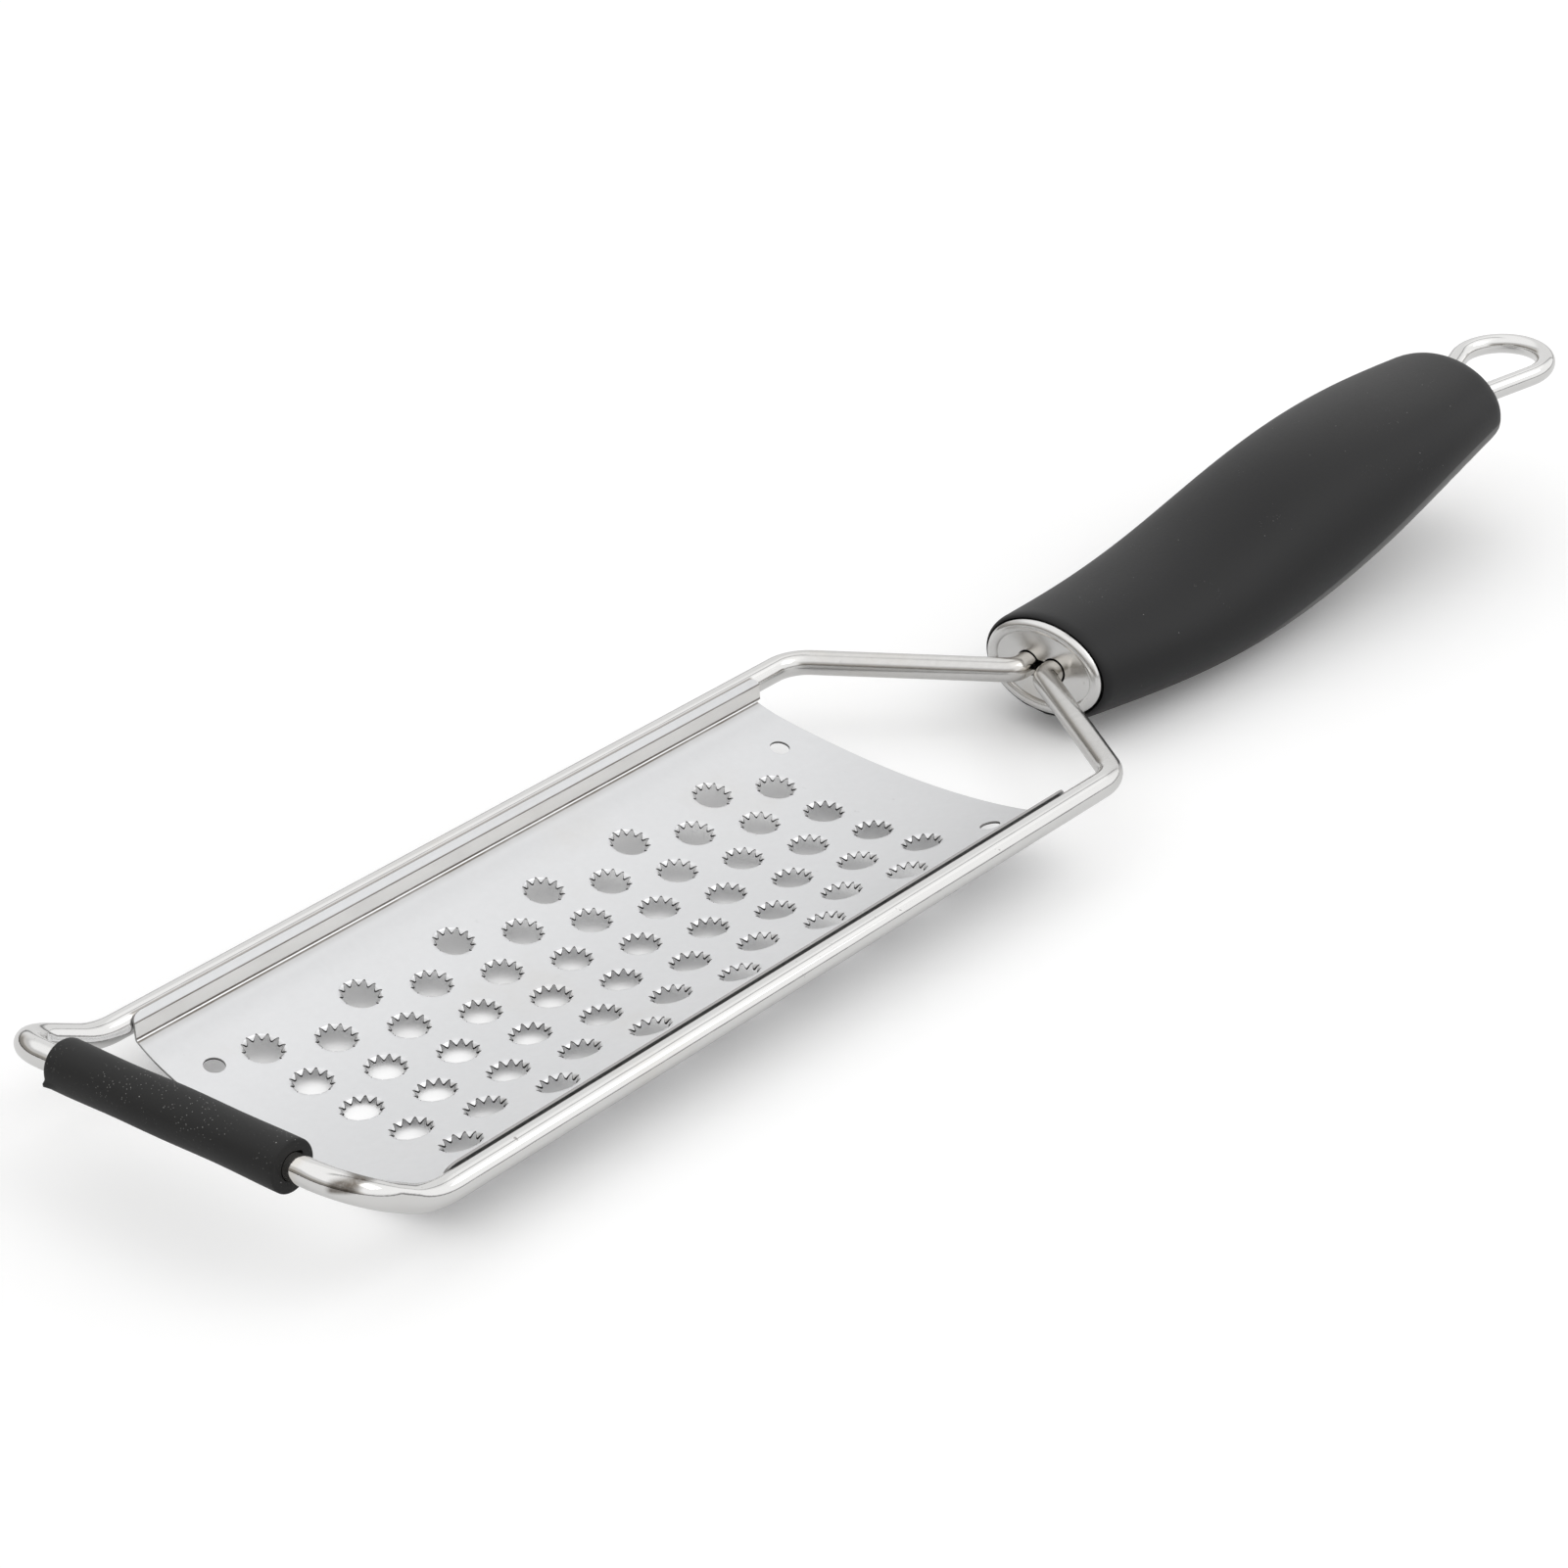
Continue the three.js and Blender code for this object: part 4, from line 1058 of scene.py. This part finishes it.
class Value:
    """A socket's value. Python's operators on it add Math nodes."""

    def __init__(self, tree, socket):
        self.tree = tree
        self.socket = socket

    def math(self, operation, *others):
        """One Math node, with this value first."""
        node = self.tree.nodes.new("ShaderNodeMath")
        node.operation = operation
        for socket, value in zip(node.inputs, (self, *others)):
            feed(self.tree, socket, value)
        return Value(self.tree, node.outputs[0])

    def __add__(self, other):
        return self.math("ADD", other)

    __radd__ = __add__

    def __sub__(self, other):
        return self.math("SUBTRACT", other)

    def __rsub__(self, other):
        return self.math("MULTIPLY_ADD", -1, other)

    def __neg__(self):
        return self * -1

    def __mul__(self, other):
        return self.math("MULTIPLY", other)

    __rmul__ = __mul__

    def __truediv__(self, other):
        return self.math("DIVIDE", other)

    def __pow__(self, other):
        return self.math("POWER", other)

    def __abs__(self):
        return self.math("ABSOLUTE")


def feed(tree, socket, value):
    """Links a value to a socket, or sets the socket to it."""
    if isinstance(value, Value):
        tree.links.new(value.socket, socket)
    elif hasattr(socket.default_value, "__len__") and len(value) + 1 == len(socket.default_value):
        socket.default_value = (*value, 1.0)
    else:
        socket.default_value = value


class Nodes:
    """A material's or world's nodes."""

    def __init__(self, owner):
        owner.use_nodes = True
        self.owner = owner
        self.tree = owner.node_tree
        self.tree.nodes.clear()

    def node(self, kind, settings=None, sockets=None, out=0):
        """One node: its settings are set first, then its sockets get their values or links."""
        node = self.tree.nodes.new("ShaderNode" + kind)
        for name, value in (settings or {}).items():
            setattr(node, name, value)
        for name, value in (sockets or {}).items():
            socket = next(s for s in node.inputs if s.enabled and s.name == name)
            feed(self.tree, socket, value)
        made = [s for s in node.outputs if s.enabled]
        if not made:
            return None
        chosen = made[out] if isinstance(out, int) else next(s for s in made if s.name == out)
        return Value(self.tree, chosen)

    def place(self, stretch=(1, 1, 1)):
        """The place on the object, in metres, stretched along its axes."""
        at = self.node("TexCoord", out="Object")
        sockets = {"Vector": at, "Scale": [1 / s for s in stretch]}
        return self.node("Mapping", {"vector_type": "TEXTURE"}, sockets)

    def parts(self, vector):
        """The X, Y and Z of a vector."""
        return [self.node("SeparateXYZ", None, {"Vector": vector}, axis) for axis in "XYZ"]

    def noise(self, scale, detail, roughness=0.5, stretch=(1, 1, 1)):
        """Noise from 0 to 1, with so many waves to a metre."""
        sockets = {"Vector": self.place(stretch), "Scale": scale, "Detail": detail, "Roughness": roughness}
        return self.node("TexNoise", None, sockets, "Fac")

    def cells(self, scale):
        """Distance to the nearest of scattered points, with so many to a metre."""
        return self.node("TexVoronoi", None, {"Vector": self.place(), "Scale": scale}, "Distance")

    def step(self, value, low, high):
        """A soft step from 0 at low to 1 at high."""
        sockets = {"Value": value, "From Min": low, "From Max": high}
        return self.node("MapRange", {"interpolation_type": "SMOOTHSTEP"}, sockets)

    def band(self, value, start, full, still, end):
        """1 between two values, with soft sides."""
        return self.step(value, start, full) * (1 - self.step(value, still, end))

    def mix(self, share, first, second):
        """A colour between two colours."""
        sockets = {"Factor": share, "A": first, "B": second}
        return self.node("Mix", {"data_type": "RGBA"}, sockets)

    def bump(self, height, distance, strength):
        return self.node("Bump", None, {"Height": height, "Distance": distance, "Strength": strength})

    def surface(self, sockets):
        """The material, with its one shader."""
        shader = self.node("BsdfPrincipled", None, sockets)
        self.node("OutputMaterial", None, {"Surface": shader})
        return self.owner


def level_place(nodes, sizes):
    """The place on the object while the grater lies level, in millimetres."""
    x, y, z = nodes.parts(nodes.place())
    turn = sizes.resting().inverted()
    along = (turn[0][0] * x + turn[0][2] * z + turn[0][3]) / MM
    height = (turn[2][0] * x + turn[2][2] * z + turn[2][3]) / MM
    return along, y / MM, height


def polished_steel(sizes):
    """Drawn wire, polished: smudged, with fine streaks and small dark marks. The arms are duller, and browned
    at the slot. A painted shade runs along the rails beside the lips, where the gaps under the lips lie in
    shade. The nose has a dark smear, and a stain beside the foot."""
    colours = sizes.colours
    wire = sizes.wire
    nodes = Nodes(bpy.data.materials.new(WIRE_FINISH))
    smudge = nodes.noise(70, 4, 0.6)
    streak = nodes.noise(1, 3, 0.6, (60, 2600, 2600))
    overlay = nodes.step(nodes.noise(38, 5, 0.62), 0.56, 0.78)
    marks = nodes.step(nodes.noise(520, 3, 0.7), 0.68, 0.78)
    mottle = nodes.noise(900, 3, 0.6)

    # These places are in millimetres. Along starts at the rails' rear end, and height at the rails.
    along, across, height = level_place(nodes, sizes)
    front, rear = sizes.plate_front / MM, sizes.plate_rear / MM
    slot, nose = sizes.ferrule_x / MM, sizes.nose_x / MM
    from_rail = abs(across) - sizes.rail_y / MM
    from_near_rail = across + sizes.rail_y / MM
    from_mouth = across + (wire.sleeve_length / 2 - wire.sleeve_shift) / MM
    over_bar = height - wire.nose_rise / MM
    on_arm = nodes.band(along, -6, 4, 60, 70)
    at_slot = on_arm * nodes.step(along, slot - 5.6, slot - 0.6)
    # Painted shade: the gap under each lip, where it meets the rail, is darkened on the wire.
    seam = nodes.band(from_rail, -1.65, -1.5, -1.15, -0.9) * nodes.step(height, 0.8, 1.1)
    seam = seam * nodes.band(along, front, front + 1, rear - 1, rear)
    on_nose = 1 - nodes.step(along, nose + 4.3, nose + 6.3)
    smear = nodes.band(from_near_rail, -0.3, 0.7, 2.5, 3.7) * nodes.band(over_bar, -0.4, 0.3, 1.2, 1.9)
    smear = smear * on_nose
    at_mouth = on_nose * nodes.band(from_mouth, -3.2, -2.0, 0.3, 1.3)
    base = nodes.mix(on_arm * (0.35 + 0.5 * mottle), colours.polished, colours.dull)
    base = nodes.mix(overlay * 0.22 + 0.3 * at_slot + 0.5 * mottle * at_mouth, base, colours.stain)
    base = nodes.mix(marks * 0.6 + 0.7 * seam + smear * (0.4 + 0.9 * mottle), base, colours.marks_and_shade)
    return nodes.surface({
        "Base Color": base,
        "Metallic": 1.0,
        "Roughness": 0.03 + 0.06 * smudge + 0.03 * streak + 0.2 * marks + 0.10 * on_arm,
        "Normal": nodes.bump(streak + 1.2 * nodes.noise(160, 2), 0.00002, 0.3),
    })


def satin_steel(sizes):
    """Rolled sheet: faint lengthwise grain, cloudy sheen and thin dried films. Its walls are painted brighter
    and warmer, a painted reflection. Painted shade darkens the plate beside the far fold, and thin painted
    shade lines run along the folds and creases."""
    colours = sizes.colours
    nodes = Nodes(bpy.data.materials.new("satin steel sheet"))
    grain = nodes.noise(1, 4, 0.65, (90, 3200, 3200))
    cloud = nodes.noise(45, 4, 0.6)
    overlay = nodes.step(nodes.noise(26, 6, 0.62), 0.55, 0.74)
    spots = nodes.step(nodes.noise(330, 3, 0.6), 0.71, 0.80)
    patchiness = 0.6 + 0.8 * nodes.noise(150, 4, 0.6)

    # These places are in millimetres, from the walls.
    section = Section(sizes)
    _, across, height = level_place(nodes, sizes)
    from_wall = abs(across) - section.wall_y / MM
    on_wall = nodes.band(from_wall, -0.02, -0.01, 0.005, 0.03)
    far_side = nodes.step(across, -1, 1)
    # Painted shade: the plate beside the far fold, and thin lines along the folds and creases, are darkened.
    shade_beside_fold = far_side * nodes.band(from_wall, -2.0, -0.3, -0.16, -0.12)
    plate_line = far_side * nodes.band(from_wall, -0.55, -0.3, -0.2, -0.14)
    wall_line = on_wall * nodes.band(height - section.wall_low / MM, -0.05, 0.02, 0.18, 0.4)
    crease_line = nodes.band(from_wall, 0.004, 0.02, 0.05, 0.13)
    fold_shade_lines = 0.62 * plate_line + 0.95 * wall_line + 0.9 * crease_line
    mottle = nodes.noise(760, 3, 0.65)
    base = nodes.mix(0.4 * cloud + 0.7 * mottle, colours.satin, tuple(0.92 * c for c in colours.satin))
    # Painted reflection: the walls are made brighter and warmer.
    base = nodes.mix(0.85 * on_wall, base, colours.reflected)
    base = nodes.mix(0.13 * overlay * patchiness, base, colours.stain)
    base = nodes.mix((0.20 * spots + 0.30 * shade_beside_fold ** 2 + fold_shade_lines) * patchiness, base, colours.marks_and_shade)
    return nodes.surface({
        "Base Color": base,
        "Metallic": 1.0,
        "Roughness": 0.27 + 0.07 * grain + 0.08 * cloud + 0.05 * overlay,
        "Normal": nodes.bump(grain + 0.6 * nodes.noise(420, 3), 0.00002, 0.4),
    })


def pressed_steel(colours):
    """Deep-drawn sheet: a smooth satin with drawing marks and fingered smudges."""
    nodes = Nodes(bpy.data.materials.new("pressed steel"))
    draw = nodes.noise(1, 3, 0.6, (300, 900, 900))
    smudge = nodes.noise(130, 4, 0.6)
    overlay = nodes.step(nodes.noise(90, 5, 0.6), 0.55, 0.75)
    marks = nodes.step(nodes.noise(700, 2, 0.6), 0.70, 0.80)
    base = nodes.mix(0.22 * overlay, colours.pressed, colours.stain)
    base = nodes.mix(0.4 * marks, base, colours.marks_and_shade)
    return nodes.surface({
        "Base Color": base,
        "Metallic": 1.0,
        "Roughness": 0.16 + 0.09 * smudge + 0.03 * draw,
        "Normal": nodes.bump(draw + 0.8 * nodes.noise(900, 3), 0.00002, 0.2),
    })


def cut_steel(sizes):
    """Sheared edge of a sheet: dull, torn across, with bright burrs. A painted shade darkens it with depth
    below the arch, most at the teeth's tips.
    """
    colours = sizes.colours
    plate = sizes.plate
    nodes = Nodes(bpy.data.materials.new("sheared steel edge"))
    tear = nodes.noise(2400, 3, 0.7)
    burr = nodes.step(nodes.noise(900, 2), 0.62, 0.74)
    _, across, height = level_place(nodes, sizes)
    radius = plate.arch_radius / MM
    from_centre = (radius ** 2 - across * across).math("SQRT")
    below_arch = radius - plate.arch_depth / MM - from_centre - height
    # Painted shade: the cut edge darkens with depth below the arch, to near black at the teeth's tips.
    base = nodes.mix(nodes.step(below_arch, 0.1, 0.38), colours.cut, colours.tip)
    return nodes.surface({
        "Base Color": nodes.mix(0.15 * burr, base, colours.satin),
        "Metallic": 1.0,
        "Roughness": 0.42 + 0.2 * tear - 0.15 * burr,
        "Normal": nodes.bump(tear, 0.00004, 0.6),
    })


def rubber(sizes, name, base_colour, dullness, dustiness, speck_scale, spread):
    """Moulded rubber: a fine dull skin with a pale bloom. Dust and short fibres lie on its upper side. Its
    top and the grip's rear top are paler, a painted sheen, and the grip's lower facets paler still, a painted
    reflection of the table.
    """
    nodes = Nodes(bpy.data.materials.new(name))
    skin = nodes.noise(1500, 3, 0.6)
    bloom = nodes.noise(55, 4, 0.6)
    upward = nodes.parts(nodes.node("TexCoord", out="Normal"))[2]
    upper = nodes.step(upward, -0.1, 0.75)
    # These places are in millimetres, from the grip's rear end. Its lower facets start near its sides there
    # and reach its belly further forward.
    from_rear = level_place(nodes, sizes)[0] - sizes.rear_x / MM
    rear_top = nodes.step(upward, 0.8, 0.98) * nodes.step(from_rear, -70.2, -15.2)
    facet_front, steepest, easing = -70, 0.5, 0.007
    facet = steepest - easing * (from_rear - facet_front)
    under = nodes.step(-facet - upward, 0, 0.05) * nodes.step(from_rear, -80.2, -60.2)
    patch = nodes.step(nodes.noise(90, 3, 0.6), spread, spread + 0.14)
    fine = 1 - nodes.step(nodes.cells(speck_scale), 0.08, 0.20)
    coarse = 1 - nodes.step(nodes.cells(speck_scale / 5), 0.02, 0.035)
    fibres = nodes.step(nodes.noise(260, 5, 0.75, (1, 2.2, 1)), 0.655, 0.70)
    dust_and_sheen = ((0.5 * fine + 0.2 * fibres) * patch * (0.15 + 0.85 * upper) + coarse) * dustiness
    # Painted light, in the dust's pale colour: a painted sheen on the top and on the grip's rear top, and a
    # painted reflection of the table on the grip's lower facets.
    overlay = 0.003 * upper + 0.018 * rear_top + 0.08 * under
    base = nodes.mix(0.6 * bloom, base_colour, tuple(1.7 * c for c in base_colour))
    base = nodes.mix(dust_and_sheen + overlay, base, sizes.colours.dust_and_sheen)
    return nodes.surface({
        "Base Color": base,
        "Roughness": dullness + 0.10 * bloom + 0.06 * skin + 0.2 * dust_and_sheen - 0.17 * under,
        "Specular IOR Level": 0.28,
        "Sheen Weight": 0.04,
        "Sheen Roughness": 0.4,
        "Normal": nodes.bump(skin + 0.8 * fine * patch, 0.00003, 0.5),
    })


def core_plastic(colours):
    """Moulded plastic with a fine grain and flow marks."""
    nodes = Nodes(bpy.data.materials.new("core plastic"))
    grain = nodes.noise(1100, 2, 0.6)
    flow = nodes.noise(1, 3, 0.6, (40, 260, 260))
    return nodes.surface({
        "Base Color": nodes.mix(flow, colours.core, tuple(1.4 * c for c in colours.core)),
        "Roughness": 0.5 + 0.12 * grain,
        "Normal": nodes.bump(grain, 0.00003, 0.4),
    })


def wire_finish(sizes):
    """The polished steel that the frame and the loop share, made once."""
    return bpy.data.materials.get(WIRE_FINISH) or polished_steel(sizes)


class GRATER_OT_bend_frame(bpy.types.Operator):
    """Bends the wire frame from one rod"""

    bl_idname = "grater.bend_frame"
    bl_label = "Bend the wire frame"

    def execute(self, context):
        sizes = Sizes(context.scene)
        finish = wire_finish(sizes)
        place_piece(sizes, "bent_wire_frame", wire_frame_mesh(sizes), "wire_frame", finish)
        return {"FINISHED"}


class GRATER_OT_fit_sleeve(bpy.types.Operator):
    """Fits the rubber foot on the nose bar"""

    bl_idname = "grater.fit_sleeve"
    bl_label = "Fit the rubber foot"

    def execute(self, context):
        sizes = Sizes(context.scene)
        base = tuple(sizes.colours.sleeve)
        finish = rubber(
            sizes, "sleeve rubber", base, dullness=0.5, dustiness=0.6, speck_scale=1900, spread=0.36
        )
        place_piece(sizes, "rubber_foot", sleeve_mesh(sizes), "foot_sleeve", finish)
        return {"FINISHED"}


class GRATER_OT_punch_plate(bpy.types.Operator):
    """Punches, rolls and folds the grater plate"""

    bl_idname = "grater.punch_plate"
    bl_label = "Punch the plate"

    def execute(self, context):
        sizes = Sizes(context.scene)
        mesh = grater_plate_mesh(sizes)
        finish = satin_steel(sizes)
        sharp = math.radians(25)
        plate = place_piece(sizes, "punched_plate", mesh, "grater_plate", finish, sharp)
        plate.data.materials.append(cut_steel(sizes))
        return {"FINISHED"}


class GRATER_OT_press_caps(bpy.types.Operator):
    """Presses the caps at both ends of the handle"""

    bl_idname = "grater.press_caps"
    bl_label = "Press the caps"

    def execute(self, context):
        sizes = Sizes(context.scene)
        finish = pressed_steel(sizes.colours)
        place_piece(sizes, "beaded_ferrule", ferrule_mesh(sizes), "front_ferrule", finish)
        mesh = rear_cap_mesh(sizes)
        cap = place_piece(sizes, "beaded_rear_cap", mesh, "rear_cap", finish)
        drill_legs(cap, sizes)
        return {"FINISHED"}


class GRATER_OT_mould_grip(bpy.types.Operator):
    """Moulds the rubber grip and finishes the core inside it"""

    bl_idname = "grater.mould_grip"
    bl_label = "Mould the grip"

    def execute(self, context):
        sizes = Sizes(context.scene)
        colours = sizes.colours
        base = tuple(colours.grip)
        finish = rubber(
            sizes, "grip rubber", base, dullness=0.42, dustiness=0.3, speck_scale=1700, spread=0.56
        )
        place_piece(sizes, "rubber_grip", grip_mesh(sizes), "grip", finish)
        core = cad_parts["handle_core"]
        core.data.materials.clear()
        core.data.materials.append(core_plastic(colours))
        return {"FINISHED"}


class GRATER_OT_bend_loop(bpy.types.Operator):
    """Bends the hanging loop"""

    bl_idname = "grater.bend_loop"
    bl_label = "Bend the hanging loop"

    def execute(self, context):
        sizes = Sizes(context.scene)
        finish = wire_finish(sizes)
        place_piece(sizes, "wire_hanging_loop", hang_loop_mesh(sizes), "hang_loop", finish)
        return {"FINISHED"}


def table_top(stage):
    """A pale table that keeps the grater's shadow."""
    half = stage.table
    mesh = bpy.data.meshes.new("table")
    corners = [(-half, -half, 0), (half, -half, 0), (half, half, 0), (-half, half, 0)]
    mesh.from_pydata(corners, [], [(0, 1, 2, 3)])
    nodes = Nodes(bpy.data.materials.new("pale table"))
    direct = nodes.node("LightPath", out="Is Camera Ray")
    seen = direct
    for ray in ("Is Glossy Ray", "Is Transmission Ray"):
        seen = seen + nodes.node("LightPath", out=ray)
    lift = (stage.table_lift,) * 3
    mesh.materials.append(nodes.surface({
        "Base Color": nodes.mix(direct, stage.table_bounce, stage.table_colour),
        "Roughness": 0.9,
        "Specular IOR Level": 0.0,
        "Emission Color": nodes.mix(seen, (0, 0, 0), lift),
        "Emission Strength": 1.0,
    }))
    add_object("table", mesh)


def light_tent(scene):
    """A long pale tent over the grater: brighter in front and overhead, with a thin dark seam along its top.
    On the left it is brightest high up and brownish lower down. It stops short of the table."""
    world = bpy.data.worlds.new("light tent")
    nodes = Nodes(world)
    x, y, height = nodes.parts(nodes.node("TexCoord", out="Generated"))
    round_tent = height.math("ARCTAN2", -y)

    def rises(low, high):
        return nodes.step(round_tent, math.radians(low), math.radians(high))

    front = rises(7, 15) * (1 - rises(66, 90))
    seam = rises(88, 92) * (1 - rises(95, 100))
    right_level = 0.86 + 0.20 * front - 0.5 * seam + 0.19 * nodes.step(height, 0.60, 0.76)
    left_level = 0.30 + 0.34 * nodes.step(height, 0.22, 0.36) + 0.42 * nodes.step(height, 0.45, 0.62)
    right = nodes.step(x - 0.35 * y, -0.25, 0.2)
    low = 1 - nodes.step(height, 0.04, 0.13)
    level = left_level + (right_level - left_level) * right - (0.2 + 0.4 * right) * low
    brightest = 1.3
    shade = nodes.mix(level / brightest, (0, 0, 0), (brightest,) * 3)
    tint = {"Factor": (1 - right) * (1 - nodes.step(height, 0.2, 0.5)), "A": shade, "B": (1.0, 0.95, 0.88)}
    shade = nodes.node("Mix", {"data_type": "RGBA", "blend_type": "MULTIPLY"}, tint)
    background = nodes.node("Background", None, {"Color": shade, "Strength": 1.0})
    nodes.node("OutputWorld", None, {"Surface": background})
    scene.world = world


def softbox(name, at, target, size, power):
    """An area lamp, in metres and watts, that faces its target."""
    lamp = bpy.data.lights.new(name, "AREA")
    lamp.shape = "RECTANGLE"
    lamp.size, lamp.size_y = size
    lamp.energy = power
    box = add_object(name, lamp)
    box.location = at
    box.rotation_euler = (Vector(target) - Vector(at)).to_track_quat("-Z", "Y").to_euler()


def photo_camera(sizes):
    """The camera at the photograph's place, moved with the grater from level to how it lies."""
    stage = sizes.stage
    back = Vector((
        math.sin(stage.azimuth) * math.cos(stage.elevation),
        -math.cos(stage.azimuth) * math.cos(stage.elevation),
        math.sin(stage.elevation),
    ))
    right = Vector((math.cos(stage.azimuth), math.sin(stage.azimuth), 0))
    upright = Matrix((right, back.cross(right), back)).transposed().to_4x4()
    rolled = upright @ Matrix.Rotation(stage.roll, 4, "Z")
    data = bpy.data.cameras.new("photo camera")
    data.sensor_width = 36
    data.lens = stage.lens
    data.clip_end = 100
    camera = add_object("photo camera", data)
    camera.matrix_world = sizes.resting() @ Matrix.Translation(stage.place) @ rolled
    bpy.context.scene.camera = camera


class GRATER_OT_set_stage(bpy.types.Operator):
    """Sets the table, the light and the camera"""

    bl_idname = "grater.set_stage"
    bl_label = "Set the stage"

    def execute(self, context):
        sizes = Sizes(context.scene)
        photo_camera(sizes)
        table_top(sizes.stage)
        light_tent(context.scene)
        softbox("front softbox", at=(0.5, -0.9, 1.1), target=(0, 0, 0), size=(0.9, 0.6), power=1.5)
        context.scene.view_settings.view_transform = "Standard"
        return {"FINISHED"}


class GRATER_PT_panel(bpy.types.Panel):
    """Lists the grater's pieces and their sizes"""

    bl_idname = "GRATER_PT_panel"
    bl_label = "Grater"
    bl_space_type = "VIEW_3D"
    bl_region_type = "UI"
    bl_category = "Grater"

    def draw(self, context):
        for operator in OPERATORS:
            self.layout.operator(operator.bl_idname)
        for name in SETTINGS:
            settings = getattr(context.scene, name)
            box = self.layout.box()
            for prop in settings.bl_rna.properties:
                if prop.identifier not in ("rna_type", "name"):
                    box.prop(settings, prop.identifier)


SETTINGS = {
    "grater_frame": FrameSizes,
    "grater_plate": PlateSizes,
    "grater_handle": HandleSizes,
    "grater_colours": FinishColours,
    "grater_stage": StageSizes,
}
OPERATORS = (
    GRATER_OT_bend_frame,
    GRATER_OT_fit_sleeve,
    GRATER_OT_punch_plate,
    GRATER_OT_press_caps,
    GRATER_OT_mould_grip,
    GRATER_OT_bend_loop,
    GRATER_OT_set_stage,
)


def register():
    for group in SETTINGS.values():
        bpy.utils.register_class(group)
    for kind in (*OPERATORS, GRATER_PT_panel):
        bpy.utils.register_class(kind)
    for name, group in SETTINGS.items():
        setattr(bpy.types.Scene, name, bpy.props.PointerProperty(type=group))


def unregister():
    for name in SETTINGS:
        delattr(bpy.types.Scene, name)
    for kind in (GRATER_PT_panel, *reversed(OPERATORS), *SETTINGS.values()):
        bpy.utils.unregister_class(kind)


def main():
    register()
    bpy.ops.grater.bend_frame()
    bpy.ops.grater.fit_sleeve()
    bpy.ops.grater.punch_plate()
    bpy.ops.grater.press_caps()
    bpy.ops.grater.mould_grip()
    bpy.ops.grater.bend_loop()
    bpy.ops.grater.set_stage()


if __name__ == "__main__":
    main()
